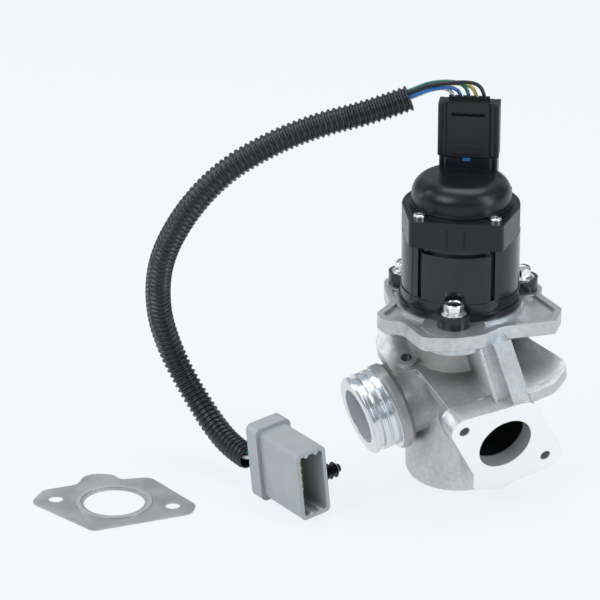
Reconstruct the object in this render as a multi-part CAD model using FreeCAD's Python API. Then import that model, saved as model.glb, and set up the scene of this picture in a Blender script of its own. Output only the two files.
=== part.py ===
import FreeCAD, Part
import math
import os

from FreeCAD import Placement, Rotation, Vector

# Electric exhaust gas recirculation valve with its harness and port gasket, in millimetres.
# Z runs up the actuator axis, Z = 0 is the foot of the casting, and the front ear is on -Y.

# Casting: chamber and top plate
CHAMBER_R = 24.0
CHAMBER_FOOT_ROUND = 7.0
PLATE_TOP_Z = 88.0
TOP_PLATE_THICKNESS = 6.4
FRONT_BOSS_R = 14.2
FRONT_BOSS_DEPTH = 8.8
TOP_RIM_WIDTH = 3.2
TOP_RIM_DEPTH = 1.4
BASE_PAD_R = 29.6
BASE_PAD_MARGIN = 2.0

# Casting: axes of the two ports, as azimuth, droop below the horizontal, and where each
# meets the actuator axis
FLANGE_AZIMUTH = -55.0
FLANGE_DROOP = 17.2
FLANGE_AXIS_Z = 46.2
FLANGE_REACH = 45.0
SPIGOT_AZIMUTH = -150.5
SPIGOT_DROOP = 15.3
SPIGOT_AXIS_Z = 51.2
SPIGOT_REACH = 51.6

# Port flange
FLANGE_THICKNESS = 10.7
FLANGE_BORE_R = 13.25
FLANGE_NECK_R = 19.0
FLANGE_BOLT_SPACING = 54.0
FLANGE_BOLT_TURN = -29.0
FLANGE_TAP_R = 2.5
FLANGE_TAP_DEPTH = 15.0
FLANGE_BORE_DEPTH = 21.0

# Clamp spigot
SPIGOT_BORE_R = 13.0
SPIGOT_LAND_R = 18.6
SPIGOT_GROOVE_R = 16.9
SPIGOT_SHOULDER_R = 20.4
SPIGOT_SHOULDER_DROP = 1.5
SPIGOT_NECK_R = 18.2
SPIGOT_BORE_DEPTH = 28.0

# Tilted mounting plate, which is parallel to both port axes
MOUNT_PLATE_Z = 72.0
MOUNT_PLATE_THICKNESS = 6.0
MOUNT_BOSS_R = 5.4
MOUNT_BOSS_RISE = 1.4
MOUNT_HOLE_R = 2.6
MOUNT_HOLE_DEPTH = 8.0
MOUNT_HOLE_ALONG = 2.8
MOUNT_HOLE_ACROSS = -28.6
GUSSET_THICKNESS = 8.4
GUSSET_ACROSS = 4.2

# Gas passages and the bores for the valve gear
LOWER_CHAMBER_R = 15.5
LOWER_CHAMBER_FLOOR_Z = 9.0
SEAT_LEDGE_Z = 34.0
SEAT_R = 15.8
SEAT_HEIGHT = 6.0
SEAT_BORE_R = 11.0
SEAT_CHAMFER = 1.5
UPPER_CHAMBER_R = 17.0
GUIDE_LEDGE_Z = 60.0
TOP_BORE_R = 19.0
PASSAGE_R = 10.0
SPIGOT_PASSAGE_Z = 50.0
FLANGE_PASSAGE_Z = 21.0

# Valve gear
VALVE_LIFT = 6.0
STEM_R = 3.0
STEM_TOP_Z = 103.0
VALVE_HEAD_R = 13.0
VALVE_HEAD_HEIGHT = 2.6
VALVE_SEAT_CLEARANCE = 0.05
RUNNING_CLEARANCE = 0.05
GUIDE_PLATE_THICKNESS = 3.5
GUIDE_HUB_R = 6.5
GUIDE_HUB_BELOW = 3.5
GUIDE_HUB_ABOVE = 3.5
BUSH_R = 4.6
STEM_SEAL_R = 6.3
STEM_SEAL_HEIGHT = 2.6
RETAINER_Z = 70.6
RETAINER_HEIGHT = 2.4
RETAINER_R = 11.2
SPRING_R = 9.2
SPRING_WIRE_R = 0.8
SPRING_TURNS = 4.4
SPRING_SEAT_R = 18.7
SPRING_SEAT_THICKNESS = 1.3
SEAT_TO_HOUSING = 0.05

# Actuator housing with its three ears
EAR_CIRCLE_R = 31.0
EAR_R = 7.4
EAR_TOP_Z = 94.0
EAR_ANGLES = (-90.0, 30.0, 150.0)
BASE_RING_R = 28.0
BASE_RING_HEIGHT = 3.0
HOUSING_R = 26.8
HOUSING_BORE_R = 23.4
HOUSING_FLOOR_THICKNESS = 3.5
HOUSING_TOP_Z = 122.7
HOUSING_EYE_R = 12.5
PANEL_HALF_ANGLE = 38.0
PANEL_SLOT_WIDTH = 2.2
PANEL_SLOT_DEPTH = 1.7
PANEL_BOTTOM_Z = 96.5
PANEL_LEDGE_Z = 118.4
PANEL_LEDGE_DEPTH = 2.2
BAND_Z = 96.0
BAND_STEP = 0.5
BOLT_POCKET_MARGIN = 0.4

# Seal between housing and casting
O_RING_R = 21.2
O_RING_CORD_R = 0.9
O_RING_GROOVE_MARGIN = 0.1

# Flange bolts in the ears
BOLT_R = 2.5
BOLT_DEPTH = 12.0
BOLT_FLANGE_R = 5.9
BOLT_FLANGE_HEIGHT = 1.3
BOLT_HEX_FLATS = 8.0
BOLT_HEX_HEIGHT = 4.6
EAR_BUSH_R = 4.0
EAR_BUSH_BORE_R = 2.75

# Solenoid
YOKE_R = 23.2
YOKE_WALL = 2.0
YOKE_TOP_Z = 119.0
YOKE_FLOOR_GAP = 0.1
SLEEVE_R = 10.9
SLEEVE_BORE_R = 10.3
SLEEVE_TOP_Z = 111.7
BOBBIN_BORE_R = 11.1
BOBBIN_CORE_R = 12.3
BOBBIN_FLANGE_R = 20.9
BOBBIN_FLANGE_THICKNESS = 1.2
BOBBIN_TOP_Z = 115.0
WINDING_R = 20.2
POLE_R = 21.1
POLE_FLANGE_Z = 115.2
POLE_FLANGE_HEIGHT = 3.4
POLE_GAP = 0.6
POLE_NOSE_R = 9.6
POLE_BORE_R = 2.7
ARMATURE_Z = 94.2
ARMATURE_HEIGHT = 11.4

# Collar, domed cover and connector neck
COLLAR_TOP_Z = 135.0
COLLAR_R = 26.5
COLLAR_HALF_WIDTH = 20.9
COLLAR_FRONT_Y = -26.8
COLLAR_CORNER_R = 2.6
COLLAR_REAR_CORNER_R = 4.2
COLLAR_SKIRT_Z = 119.4
COLLAR_SKIRT_WALL = 1.9
COLLAR_FLOOR_THICKNESS = 2.0
COLLAR_WELL_R = 19.0
COLLAR_EYE_R = 4.4
COLLAR_GROOVE_SPACING = 8.0
COLLAR_GROOVE_TOP_Z = 131.6
COLLAR_GROOVE_WIDTH = 0.9
COLLAR_TAB_DROP = 0.8
LID_RIM = 1.3
LID_DEPTH = 1.9
LID_CLEARANCE = 0.12
DOME_R = 22.6
DOME_FOOT_R = 23.7
DOME_FOOT_Z = 136.6
DOME_SHOULDER_R = 8.4
DOME_TOP_Z = 149.2
DOME_WALL = 2.4
DOME_CROWN = 1.0
NECK_CENTRE_X = 1.9
NECK_HALF_WIDTH = 13.2
NECK_FRONT_HALF_WIDTH = 10.7
NECK_FRONT_Y = 6.6
NECK_SIDE_Y = 8.8
NECK_BACK_Y = 19.4
NECK_TOP_Z = 154.0
HEADER_HALF_WIDTH = 9.4
HEADER_INSET = 1.8
HEADER_WALL = 1.2
HEADER_TOP_Z = 170.0
SCREW_X = 17.0
SCREW_Y = 20.4
SCREW_R = 1.4
SCREW_HEAD_R = 2.75
SCREW_HEAD_HEIGHT = 1.7
SCREW_DEPTH = 9.0

# Seal between collar and cover
COVER_SEAL_R = 21.0
COVER_SEAL_CORD_R = 0.6

# Lift sensor
PLUNGER_R = 2.5
PLUNGER_TOP_Z = 131.0
PLUNGER_GAP = 0.1
SLIDER_HALF = 3.6
SLIDER_HEIGHT = 6.0
TRACK_X = 6.6
TRACK_THICKNESS = 1.0
TRACK_HALF_WIDTH = 6.5
TRACK_TOP_Z = 144.5
WIPER_GAP = 0.08
SENSOR_SPRING_R = 2.0
SENSOR_SPRING_WIRE_R = 0.35
SENSOR_SPRING_TURNS = 6.0
SENSOR_SPRING_TOP_Z = 143.0

# Plug on the neck
WIRE_PITCH = 3.5
WIRE_R = 0.85
WIRE_HOLE_R = 1.1
WIRE_Y = 13.4
WIRE_FOOT_Z = 174.5
SEAL_THICKNESS = 0.7
SEAL_WIDTH = 0.6
SEAL_CLEARANCE = 0.05
SEAL_TONGUE_X = 1.3
SEAL_TONGUE_HALF_WIDTH = 1.75
SEAL_TONGUE_DROP = 1.6
PLUG_HALF_WIDTH = 11.9
PLUG_FRONT_Y = 7.0
PLUG_BACK_Y = 19.0
PLUG_SHELF_Y = 11.8
PLUG_OUTLET_Z = 178.2
PLUG_TOP_Z = 180.0
PLUG_COMB_Z = 182.0
PLUG_COMB_HALF_WIDTH = 9.2
PLUG_COMB_THICKNESS = 1.1
PLUG_RAIL_WIDTH = 1.9
PLUG_RAIL_BOTTOM_Z = 154.3
PLUG_RAIL_DROP = 1.2
PLUG_CLEARANCE = 0.3
LATCH_HALF_WIDTH = 9.5
LATCH_THICKNESS = 1.5
LATCH_BOTTOM_Z = 154.5
LATCH_TOP_Z = 179.9
LATCH_INSET = 0.4
LOCK_Z = 173.6
LOCK_HEIGHT = 3.2
LOCK_DEPTH = 2.6
PIN_WIDTH = 1.5
PIN_THICKNESS = 0.8
PIN_FOOT_Z = 138.0
PIN_TOP_Z = 167.0

# Conduit and the wires at its two ends
CONDUIT_R = 5.9
CONDUIT_MOUTH_R = 4.9
CONDUIT_MOUTH_DEPTH = 9.0
BUNDLE_ANGLES = (-90.0, 198.0, 54.0, -18.0, 126.0)
UPPER_BUNDLE_R = 1.75
UPPER_BUNDLE_LIFT = 1.5
UPPER_WIRE_GATE = 2.6
UPPER_WIRE_RISES = (181.9, 182.2, 182.9, 182.5, 183.4)
UPPER_WIRE_ARCHES = (
    ((-9.6, 13.0, 184.8), (-16.2, 9.2, 184.4)),
    ((-6.6, 11.7, 186.0), (-15.8, 7.4, 185.6)),
    ((-3.2, 13.7, 187.9), (-15.6, 10.6, 188.0)),
    ((0.2, 16.3, 186.3), (-15.6, 12.2, 186.0)),
    ((3.3, 12.0, 189.0), (-15.6, 8.0, 187.6)),
)
LOWER_BUNDLE_R = 2.0
LOWER_BUNDLE_LIFT = 0.8
LOWER_WIRE_GATE = 0.6
LOWER_WIRE_BEND = 3.0
LOWER_WIRE_SLOTS = (0, 3, 1, 2, 4)
ARC_SHARE = 0.45
CONDUIT_POINTS = (
    (-24.4, 5.6, 181.8),
    (-41.5, 2.4, 175.4),
    (-63.5, -1.7, 170.2),
    (-85.5, -5.6, 161.4),
    (-107.5, -9.2, 147.6),
    (-125.0, -9.8, 126.8),
    (-137.6, -4.0, 100.6),
    (-140.5, 6.2, 72.0),
    (-134.7, 9.4, 49.6),
    (-126.0, 6.3, 34.5),
    (-119.2, 2.0, 25.8),
    (-112.8, -3.5, 19.3),
    (-106.5, -9.4, 15.0),
    (-100.3, -15.1, 12.7),
    (-94.5, -20.3, 11.9),
)

# Grey connector, which stands on the floor at the end of the harness
GREY_X = -68.1
GREY_Y = -46.3
GREY_AZIMUTH = -48.3
GREY_LEAN = 6.0
GREY_LENGTH = 30.0
GREY_HEIGHT = 33.5
GREY_THICKNESS = 15.5
GREY_WALL = 1.8
GREY_POCKET_DEPTH = 22.0
GREY_COLLAR_LENGTH = 8.0
GREY_COLLAR_HEIGHT = 37.0
GREY_COLLAR_THICKNESS = 19.0
GREY_KEY_R = 1.2
GREY_SEAL_DEPTH = 4.0
GREY_SEAL_WALL = 1.3
GREY_INSERT_DEPTH = 7.0
GREY_INSERT_HALF_WIDTH = 3.6
GREY_INSERT_HALF_HEIGHT = 10.5
GREY_PITCH = 3.6
GREY_PIN_R = 0.8
GREY_PIN_REACH = 12.0
CLIP_ALONG = 1.6
CLIP_HEIGHT = 12.5
CLIP_PAD_HALF = 5.0
CLIP_PAD_THICKNESS = 1.6
CLIP_STEM_R = 1.9
CLIP_REACH = 15.0
CLIP_FIN_R = 3.8
CLIP_FINS = 4

# Port gasket, lying on the floor beside the valve
GASKET_X = -152.0
GASKET_Y = -51.8
GASKET_TURN = 0.0
GASKET_THICKNESS = 0.8
GASKET_HOLE_R = 14.0
GASKET_BEAD_R = 16.4
GASKET_BEAD_WIDTH = 2.0
GASKET_BEAD_RISE = 0.5
GASKET_BOLT_SPACING = 54.0
GASKET_BOLT_HOLE_R = 3.5


# Basic solids

def cylinder(radius, low, high, x=0.0, y=0.0):
    return Part.makeCylinder(radius, high - low, Vector(x, y, low))


def tube(outer, inner, low, high, x=0.0, y=0.0):
    return cylinder(outer, low, high, x, y).cut(cylinder(inner, low, high, x, y))


def block(x_low, x_high, y_low, y_high, z_low, z_high):
    corner = Vector(x_low, y_low, z_low)
    return Part.makeBox(x_high - x_low, y_high - y_low, z_high - z_low, corner)


def rounded_outline(corners):
    """Closed outline through (x, y, radius) corners, each rounded by its own radius."""
    count = len(corners)
    entries, middles, exits = [], [], []
    for index in range(count):
        corner = Vector(corners[index][0], corners[index][1], 0.0)
        before = Vector(corners[index - 1][0], corners[index - 1][1], 0.0)
        following = corners[(index + 1) % count]
        after = Vector(following[0], following[1], 0.0)
        back = (before - corner).normalize()
        ahead = (after - corner).normalize()
        half = back.getAngle(ahead) / 2.0
        radius = corners[index][2]
        reach = radius / math.tan(half)
        bisector = (back + ahead).normalize()
        entries.append(corner + back * reach)
        exits.append(corner + ahead * reach)
        middles.append(corner + bisector * (radius / math.sin(half) - radius))
    edges = []
    for index in range(count):
        if corners[index][2] > 0.0:
            edges.append(Part.Arc(entries[index], middles[index], exits[index]).toShape())
        start = exits[index]
        end = entries[(index + 1) % count]
        if start.distanceToPoint(end) > 1e-6:
            edges.append(Part.LineSegment(start, end).toShape())
    return Part.Wire(edges)


def prism(corners, low, high):
    face = Part.Face(rounded_outline(corners))
    face.translate(Vector(0.0, 0.0, low))
    return face.extrude(Vector(0.0, 0.0, high - low))


def rounded_box(centre_x, centre_y, half_x, half_y, radius, low, high):
    corners = (
        (centre_x - half_x, centre_y - half_y, radius),
        (centre_x + half_x, centre_y - half_y, radius),
        (centre_x + half_x, centre_y + half_y, radius),
        (centre_x - half_x, centre_y + half_y, radius),
    )
    return prism(corners, low, high)


def revolved(profile):
    """Solid of revolution about Z from (radius, height) points."""
    points = [Vector(radius, 0.0, height) for radius, height in profile]
    points.append(points[0])
    face = Part.Face(Part.makePolygon(points))
    return face.revolve(Vector(0, 0, 0), Vector(0, 0, 1), 360.0)


def turned(shape, angle):
    return shape.rotated(Vector(0, 0, 0), Vector(0, 0, 1), angle)


def joined(shapes):
    whole = shapes[0]
    for shape in shapes[1:]:
        whole = whole.fuse(shape)
    whole = whole.removeSplitter()
    return whole.Solids[0] if len(whole.Solids) == 1 else whole


def group(shapes):
    return Part.makeCompound(shapes)


def coil(radius, wire_r, low, high, turns):
    """Round-wire compression spring between two heights."""
    start = low + wire_r
    height = high - low - 2.0 * wire_r
    helix = Part.makeHelix(height / turns, height, radius)
    helix.translate(Vector(0.0, 0.0, start))
    section = Part.Wire(Part.makeCircle(wire_r, Vector(radius, 0.0, start), Vector(0, 1, 0)))
    return Part.Wire(helix.Edges).makePipeShell([section], True, True)


def cord_path(points):
    """Straight runs joined by tangent arcs, each arc as large as its two runs allow."""
    edges = []
    radii = []
    last = Vector(*points[0])
    for index in range(1, len(points) - 1):
        corner = Vector(*points[index])
        before = Vector(*points[index - 1])
        after = Vector(*points[index + 1])
        back = (before - corner).normalize()
        ahead = (after - corner).normalize()
        half_turn = (math.pi - back.getAngle(ahead)) / 2.0
        shorter = min(corner.distanceToPoint(before), corner.distanceToPoint(after))
        reach = ARC_SHARE * shorter
        radius = reach / math.tan(half_turn)
        sagitta = radius / math.cos(half_turn) - radius
        entry = corner + back * reach
        leave = corner + ahead * reach
        middle = corner + (back + ahead).normalize() * sagitta
        edges.append(Part.LineSegment(last, entry).toShape())
        edges.append(Part.Arc(entry, middle, leave).toShape())
        radii.append(radius)
        last = leave
    edges.append(Part.LineSegment(last, Vector(*points[-1])).toShape())
    return Part.Wire(edges), radii


def cord(points, radius, name):
    path, radii = cord_path(points)
    start = Vector(*points[0])
    heading = Vector(*points[1]) - start
    section = Part.Wire(Part.makeCircle(radius, start, heading))
    solid = path.makePipeShell([section], True, False)
    expected = math.pi * radius * radius * path.Length
    share = solid.Volume / expected
    shortest = min(radii) / (2.0 * radius) if radii else 0.0
    print(f"{name}: length {path.Length:.1f}, volume ratio {share:.4f},"
          f" smallest radius {shortest:.1f} diameters, radii",
          " ".join(f"{value:.1f}" for value in radii))
    return solid


# Frames

def heading(azimuth, droop):
    flat = math.cos(math.radians(droop))
    x = math.cos(math.radians(azimuth)) * flat
    y = math.sin(math.radians(azimuth)) * flat
    return Vector(x, y, -math.sin(math.radians(droop)))


def frame(origin, x_axis, z_axis):
    y_axis = z_axis.cross(x_axis)
    return Placement(origin, Rotation(x_axis, y_axis, z_axis, "ZXY"))


FLANGE_OUT = heading(FLANGE_AZIMUTH, FLANGE_DROOP)
SPIGOT_OUT = heading(SPIGOT_AZIMUTH, SPIGOT_DROOP)
FLANGE_FACE = Vector(0, 0, FLANGE_AXIS_Z) + FLANGE_OUT * FLANGE_REACH
SPIGOT_FACE = Vector(0, 0, SPIGOT_AXIS_Z) + SPIGOT_OUT * SPIGOT_REACH
PLATE_UP = SPIGOT_OUT.cross(FLANGE_OUT).normalize()


def flange_frame():
    """Z out of the flange face, X along its two bolts."""
    level = Vector(0, 0, 1).cross(FLANGE_OUT).normalize()
    bolts = Rotation(FLANGE_OUT, FLANGE_BOLT_TURN).multVec(level)
    return frame(FLANGE_FACE, bolts, FLANGE_OUT)


def spigot_frame():
    """Z out of the spigot."""
    level = Vector(0, 0, 1).cross(SPIGOT_OUT).normalize()
    return frame(SPIGOT_FACE, level, SPIGOT_OUT)


def plate_frame():
    """Z out of the tilted plate, X along the flange axis."""
    return frame(Vector(0, 0, MOUNT_PLATE_Z), FLANGE_OUT, PLATE_UP)


def placed(shape, placement):
    copy = shape.copy()
    copy.Placement = placement.multiply(copy.Placement)
    return copy


def ear_places(radius=EAR_CIRCLE_R):
    places = []
    for angle in EAR_ANGLES:
        turn = math.radians(angle)
        places.append((radius * math.cos(turn), radius * math.sin(turn)))
    return places


# Casting

TOP_OUTLINE = (
    (-12.2, -47.2, 5.0),
    (2.5, -45.6, 9.0),
    (14.0, -40.5, 9.0),
    (21.5, -30.0, 14.0),
    (45.0, -20.2, 2.5),
    (47.0, -6.0, 6.0),
    (34.2, 13.0, 10.0),
    (24.0, 27.0, 9.0),
    (-22.0, 27.0, 9.0),
    (-36.5, 13.0, 7.0),
    (-31.0, -9.0, 8.0),
    (-36.0, -22.0, 5.0),
    (-30.5, -31.0, 5.0),
    (-23.5, -29.5, 6.0),
)

MOUNT_OUTLINE = (
    (-25.0, -28.0, 6.0),
    (-13.0, -36.5, 9.0),
    (7.5, -38.0, 5.0),
    (11.0, -27.5, 3.0),
    (42.5, -27.0, 1.0),
    (42.5, 4.0, 1.0),
    (52.0, 8.5, 1.0),
    (52.5, 20.0, 8.0),
    (45.5, 32.5, 7.0),
    (21.5, 24.6, 16.0),
    (-17.0, 22.0, 8.0),
)

FLANGE_OUTLINE = (
    (-39.8, 0.0, 6.6),
    (-4.0, -20.2, 3.0),
    (1.1, -27.0, 2.5),
    (16.7, -22.6, 4.0),
    (21.6, -15.6, 4.0),
    (42.4, 1.0, 8.4),
    (-2.0, 24.8, 7.0),
)

FLANGE_FOOT_OUTLINE = (
    (-24.0, 3.0, 2.0),
    (-3.6, -17.0, 2.0),
    (2.2, -25.4, 2.0),
    (15.2, -21.2, 3.0),
    (19.0, -8.0, 3.0),
    (10.0, 6.0, 2.0),
)


def chamber():
    body = cylinder(CHAMBER_R, 0.0, PLATE_TOP_Z)
    foot = [edge for edge in body.Edges if edge.Curve.TypeId == "Part::GeomCircle"
            and abs(edge.CenterOfMass.z) < 1e-6]
    return body.makeFillet(CHAMBER_FOOT_ROUND, foot)


def top_plate():
    low = PLATE_TOP_Z - TOP_PLATE_THICKNESS
    outline = Part.Face(rounded_outline(TOP_OUTLINE))
    plate = outline.extrude(Vector(0, 0, TOP_PLATE_THICKNESS))
    plate.translate(Vector(0, 0, low))
    ears = [cylinder(EAR_R + BASE_PAD_MARGIN, low, PLATE_TOP_Z, x, y) for x, y in ear_places()]
    plate = joined([plate] + ears + [cylinder(BASE_PAD_R, low, PLATE_TOP_Z)])
    inner = outline.makeOffset2D(-TOP_RIM_WIDTH)
    channel = inner.extrude(Vector(0, 0, TOP_RIM_DEPTH))
    channel.translate(Vector(0, 0, PLATE_TOP_Z - TOP_RIM_DEPTH))
    pads = [cylinder(EAR_R + BASE_PAD_MARGIN, low, PLATE_TOP_Z + 1.0, x, y)
            for x, y in ear_places()]
    pads.append(cylinder(BASE_PAD_R, low, PLATE_TOP_Z + 1.0))
    return plate.cut(channel.cut(pads))


def front_boss():
    """Deeper metal under the front ear, which shows as a lens below the plate's edge."""
    low = PLATE_TOP_Z - FRONT_BOSS_DEPTH
    return cylinder(FRONT_BOSS_R, low, PLATE_TOP_Z, 0.0, -EAR_CIRCLE_R)


def mount_plate():
    plate = prism(MOUNT_OUTLINE, -MOUNT_PLATE_THICKNESS, 0.0)
    boss = cylinder(MOUNT_BOSS_R, -MOUNT_PLATE_THICKNESS, MOUNT_BOSS_RISE,
                    MOUNT_HOLE_ALONG, MOUNT_HOLE_ACROSS)
    gusset_outline = (
        (4.0, -MOUNT_PLATE_THICKNESS + 0.5, 0.0),
        (FLANGE_REACH + 6.8, -MOUNT_PLATE_THICKNESS + 0.5, 0.0),
        (FLANGE_REACH + 5.8, -1.5, 0.0),
        (37.4, 22.6, 0.0),
        (10.0, 14.5, 0.0),
    )
    gusset = prism(gusset_outline, -GUSSET_THICKNESS / 2.0, GUSSET_THICKNESS / 2.0)
    upright = Placement(Vector(0, GUSSET_ACROSS, 0), Rotation(Vector(1, 0, 0), 90.0))
    gusset = placed(gusset, upright)
    return placed(joined([plate, boss, gusset]), plate_frame())


def port_flange():
    block_solid = prism(FLANGE_OUTLINE, -FLANGE_THICKNESS, 0.0)
    foot = prism(FLANGE_FOOT_OUTLINE, -FLANGE_REACH + 8.0, -FLANGE_THICKNESS / 2.0)
    neck = cylinder(FLANGE_NECK_R, -FLANGE_REACH, -FLANGE_THICKNESS / 2.0)
    return placed(joined([block_solid, foot, neck]), flange_frame())


def spigot():
    land = SPIGOT_LAND_R
    groove = SPIGOT_GROOVE_R
    profile = (
        (0.0, 0.0),
        (land - 0.8, 0.0),
        (land, -0.8),
        (land, -2.2),
        (groove, -2.6),
        (groove, -4.6),
        (land, -5.0),
        (land, -7.6),
        (land - 0.7, -8.0),
        (land - 0.7, -8.6),
        (land, -9.0),
        (land, -11.4),
        (groove + 0.4, -11.8),
        (groove + 0.4, -12.8),
        (SPIGOT_NECK_R, -13.4),
        (SPIGOT_NECK_R - 1.0, -24.0),
        (SPIGOT_NECK_R, -SPIGOT_REACH + 8.0),
        (0.0, -SPIGOT_REACH + 8.0),
    )
    shoulder = (
        (0.0, -12.6),
        (SPIGOT_SHOULDER_R - 1.4, -12.6),
        (SPIGOT_SHOULDER_R, -14.2),
        (SPIGOT_SHOULDER_R, -17.4),
        (SPIGOT_SHOULDER_R - 1.6, -19.4),
        (0.0, -19.4),
    )
    ring = revolved(shoulder)
    ring.translate(Vector(0.0, -SPIGOT_SHOULDER_DROP, 0.0))
    return placed(revolved(profile).fuse(ring), spigot_frame())


def gas_passages():
    shapes = [
        cylinder(LOWER_CHAMBER_R, LOWER_CHAMBER_FLOOR_Z, SEAT_LEDGE_Z),
        cylinder(SEAT_R, SEAT_LEDGE_Z, SEAT_LEDGE_Z + SEAT_HEIGHT),
        cylinder(UPPER_CHAMBER_R, SEAT_LEDGE_Z + SEAT_HEIGHT, GUIDE_LEDGE_Z),
        cylinder(TOP_BORE_R, GUIDE_LEDGE_Z, PLATE_TOP_Z),
    ]
    bore = cylinder(FLANGE_BORE_R, -FLANGE_BORE_DEPTH, 1.0)
    shapes.append(placed(bore, flange_frame()))
    bore = cylinder(SPIGOT_BORE_R, -SPIGOT_BORE_DEPTH, 1.0)
    shapes.append(placed(bore, spigot_frame()))
    spigot_bottom = Vector(0, 0, SPIGOT_AXIS_Z) + SPIGOT_OUT * (SPIGOT_REACH - SPIGOT_BORE_DEPTH)
    shapes += passage(Vector(0, 0, SPIGOT_PASSAGE_Z), spigot_bottom)
    flange_bottom = FLANGE_FACE - FLANGE_OUT * FLANGE_BORE_DEPTH
    shapes += passage(Vector(0, 0, FLANGE_PASSAGE_Z), flange_bottom)
    return shapes


def passage(inner, outer):
    """Round passage from the actuator axis to the bottom of a port bore."""
    run = outer - inner
    return [
        Part.makeCylinder(PASSAGE_R, run.Length, inner, run),
        Part.makeSphere(PASSAGE_R, outer),
    ]


def valve_casting():
    body = chamber()
    for piece in (top_plate(), front_boss(), mount_plate(), port_flange(), spigot()):
        body = body.fuse(piece)
    above = block(-80.0, 80.0, -80.0, 80.0, PLATE_TOP_Z, PLATE_TOP_Z + 40.0)
    body = body.cut([above] + gas_passages())
    holes = []
    for side in (-0.5, 0.5):
        tap = cylinder(FLANGE_TAP_R, -FLANGE_TAP_DEPTH, 1.0, side * FLANGE_BOLT_SPACING)
        holes.append(placed(tap, flange_frame()))
    hole = cylinder(MOUNT_HOLE_R, MOUNT_BOSS_RISE - MOUNT_HOLE_DEPTH, MOUNT_BOSS_RISE,
                    MOUNT_HOLE_ALONG, MOUNT_HOLE_ACROSS)
    holes.append(placed(hole, plate_frame()))
    for x, y in ear_places():
        holes.append(cylinder(BOLT_R, PLATE_TOP_Z - BOLT_DEPTH, PLATE_TOP_Z + 1.0, x, y))
    holes.append(o_ring_groove())
    return body.cut(holes)


# Seat, valve and stem guide

def seat_ring():
    top = SEAT_LEDGE_Z + SEAT_HEIGHT
    profile = (
        (SEAT_BORE_R, SEAT_LEDGE_Z),
        (SEAT_R, SEAT_LEDGE_Z),
        (SEAT_R, top),
        (SEAT_BORE_R + SEAT_CHAMFER, top),
        (SEAT_BORE_R, top - SEAT_CHAMFER),
    )
    return revolved(profile)


def poppet_valve():
    seat_top = SEAT_LEDGE_Z + SEAT_HEIGHT + VALVE_SEAT_CLEARANCE * 2.0
    lip = VALVE_HEAD_R - SEAT_BORE_R - SEAT_CHAMFER
    narrow = SEAT_BORE_R - 0.6
    profile = (
        (0.0, seat_top - SEAT_CHAMFER - 0.6),
        (narrow, seat_top - SEAT_CHAMFER - 0.6),
        (VALVE_HEAD_R, seat_top + lip),
        (VALVE_HEAD_R, seat_top + lip + 1.0),
        (STEM_R + 3.0, seat_top + VALVE_HEAD_HEIGHT),
        (STEM_R, seat_top + VALVE_HEAD_HEIGHT + 3.0),
        (STEM_R, STEM_TOP_Z - 0.5),
        (STEM_R - 0.5, STEM_TOP_Z),
        (0.0, STEM_TOP_Z),
    )
    return revolved(profile)


def guide_plate():
    top = GUIDE_LEDGE_Z + GUIDE_PLATE_THICKNESS
    plate = tube(TOP_BORE_R, BUSH_R, GUIDE_LEDGE_Z, top)
    hub = tube(GUIDE_HUB_R, BUSH_R, GUIDE_LEDGE_Z - GUIDE_HUB_BELOW, top + GUIDE_HUB_ABOVE)
    return joined([plate, hub])


def guide_bush():
    top = GUIDE_LEDGE_Z + GUIDE_PLATE_THICKNESS + GUIDE_HUB_ABOVE
    return tube(BUSH_R, STEM_R + RUNNING_CLEARANCE, GUIDE_LEDGE_Z - GUIDE_HUB_BELOW, top)


def stem_seal():
    foot = GUIDE_LEDGE_Z + GUIDE_PLATE_THICKNESS + GUIDE_HUB_ABOVE
    inner = STEM_R + RUNNING_CLEARANCE
    profile = (
        (inner, foot),
        (STEM_SEAL_R, foot),
        (STEM_SEAL_R, foot + STEM_SEAL_HEIGHT * 0.6),
        (inner + 1.0, foot + STEM_SEAL_HEIGHT),
        (inner, foot + STEM_SEAL_HEIGHT),
    )
    return revolved(profile)


def spring_retainer():
    top = RETAINER_Z + RETAINER_HEIGHT
    profile = (
        (STEM_R, RETAINER_Z),
        (STEM_R + 2.6, RETAINER_Z),
        (RETAINER_R, top - 1.2),
        (RETAINER_R, top),
        (STEM_R, top),
    )
    return revolved(profile)


def housing_floor_z():
    return PLATE_TOP_Z + HOUSING_FLOOR_THICKNESS


def spring_seat():
    top = PLATE_TOP_Z - SEAT_TO_HOUSING
    return tube(SPRING_SEAT_R, STEM_R + 0.7, top - SPRING_SEAT_THICKNESS, top)


def return_spring():
    high = PLATE_TOP_Z - SEAT_TO_HOUSING - SPRING_SEAT_THICKNESS
    return coil(SPRING_R, SPRING_WIRE_R, RETAINER_Z + RETAINER_HEIGHT, high, SPRING_TURNS)


# Seal between housing and casting

def o_ring_groove():
    low = PLATE_TOP_Z - 2.0 * O_RING_CORD_R
    half = O_RING_CORD_R + O_RING_GROOVE_MARGIN
    return tube(O_RING_R + half, O_RING_R - half, low, PLATE_TOP_Z)


def base_o_ring():
    return Part.makeTorus(O_RING_R, O_RING_CORD_R, Vector(0, 0, PLATE_TOP_Z - O_RING_CORD_R))


# Actuator housing

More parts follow.
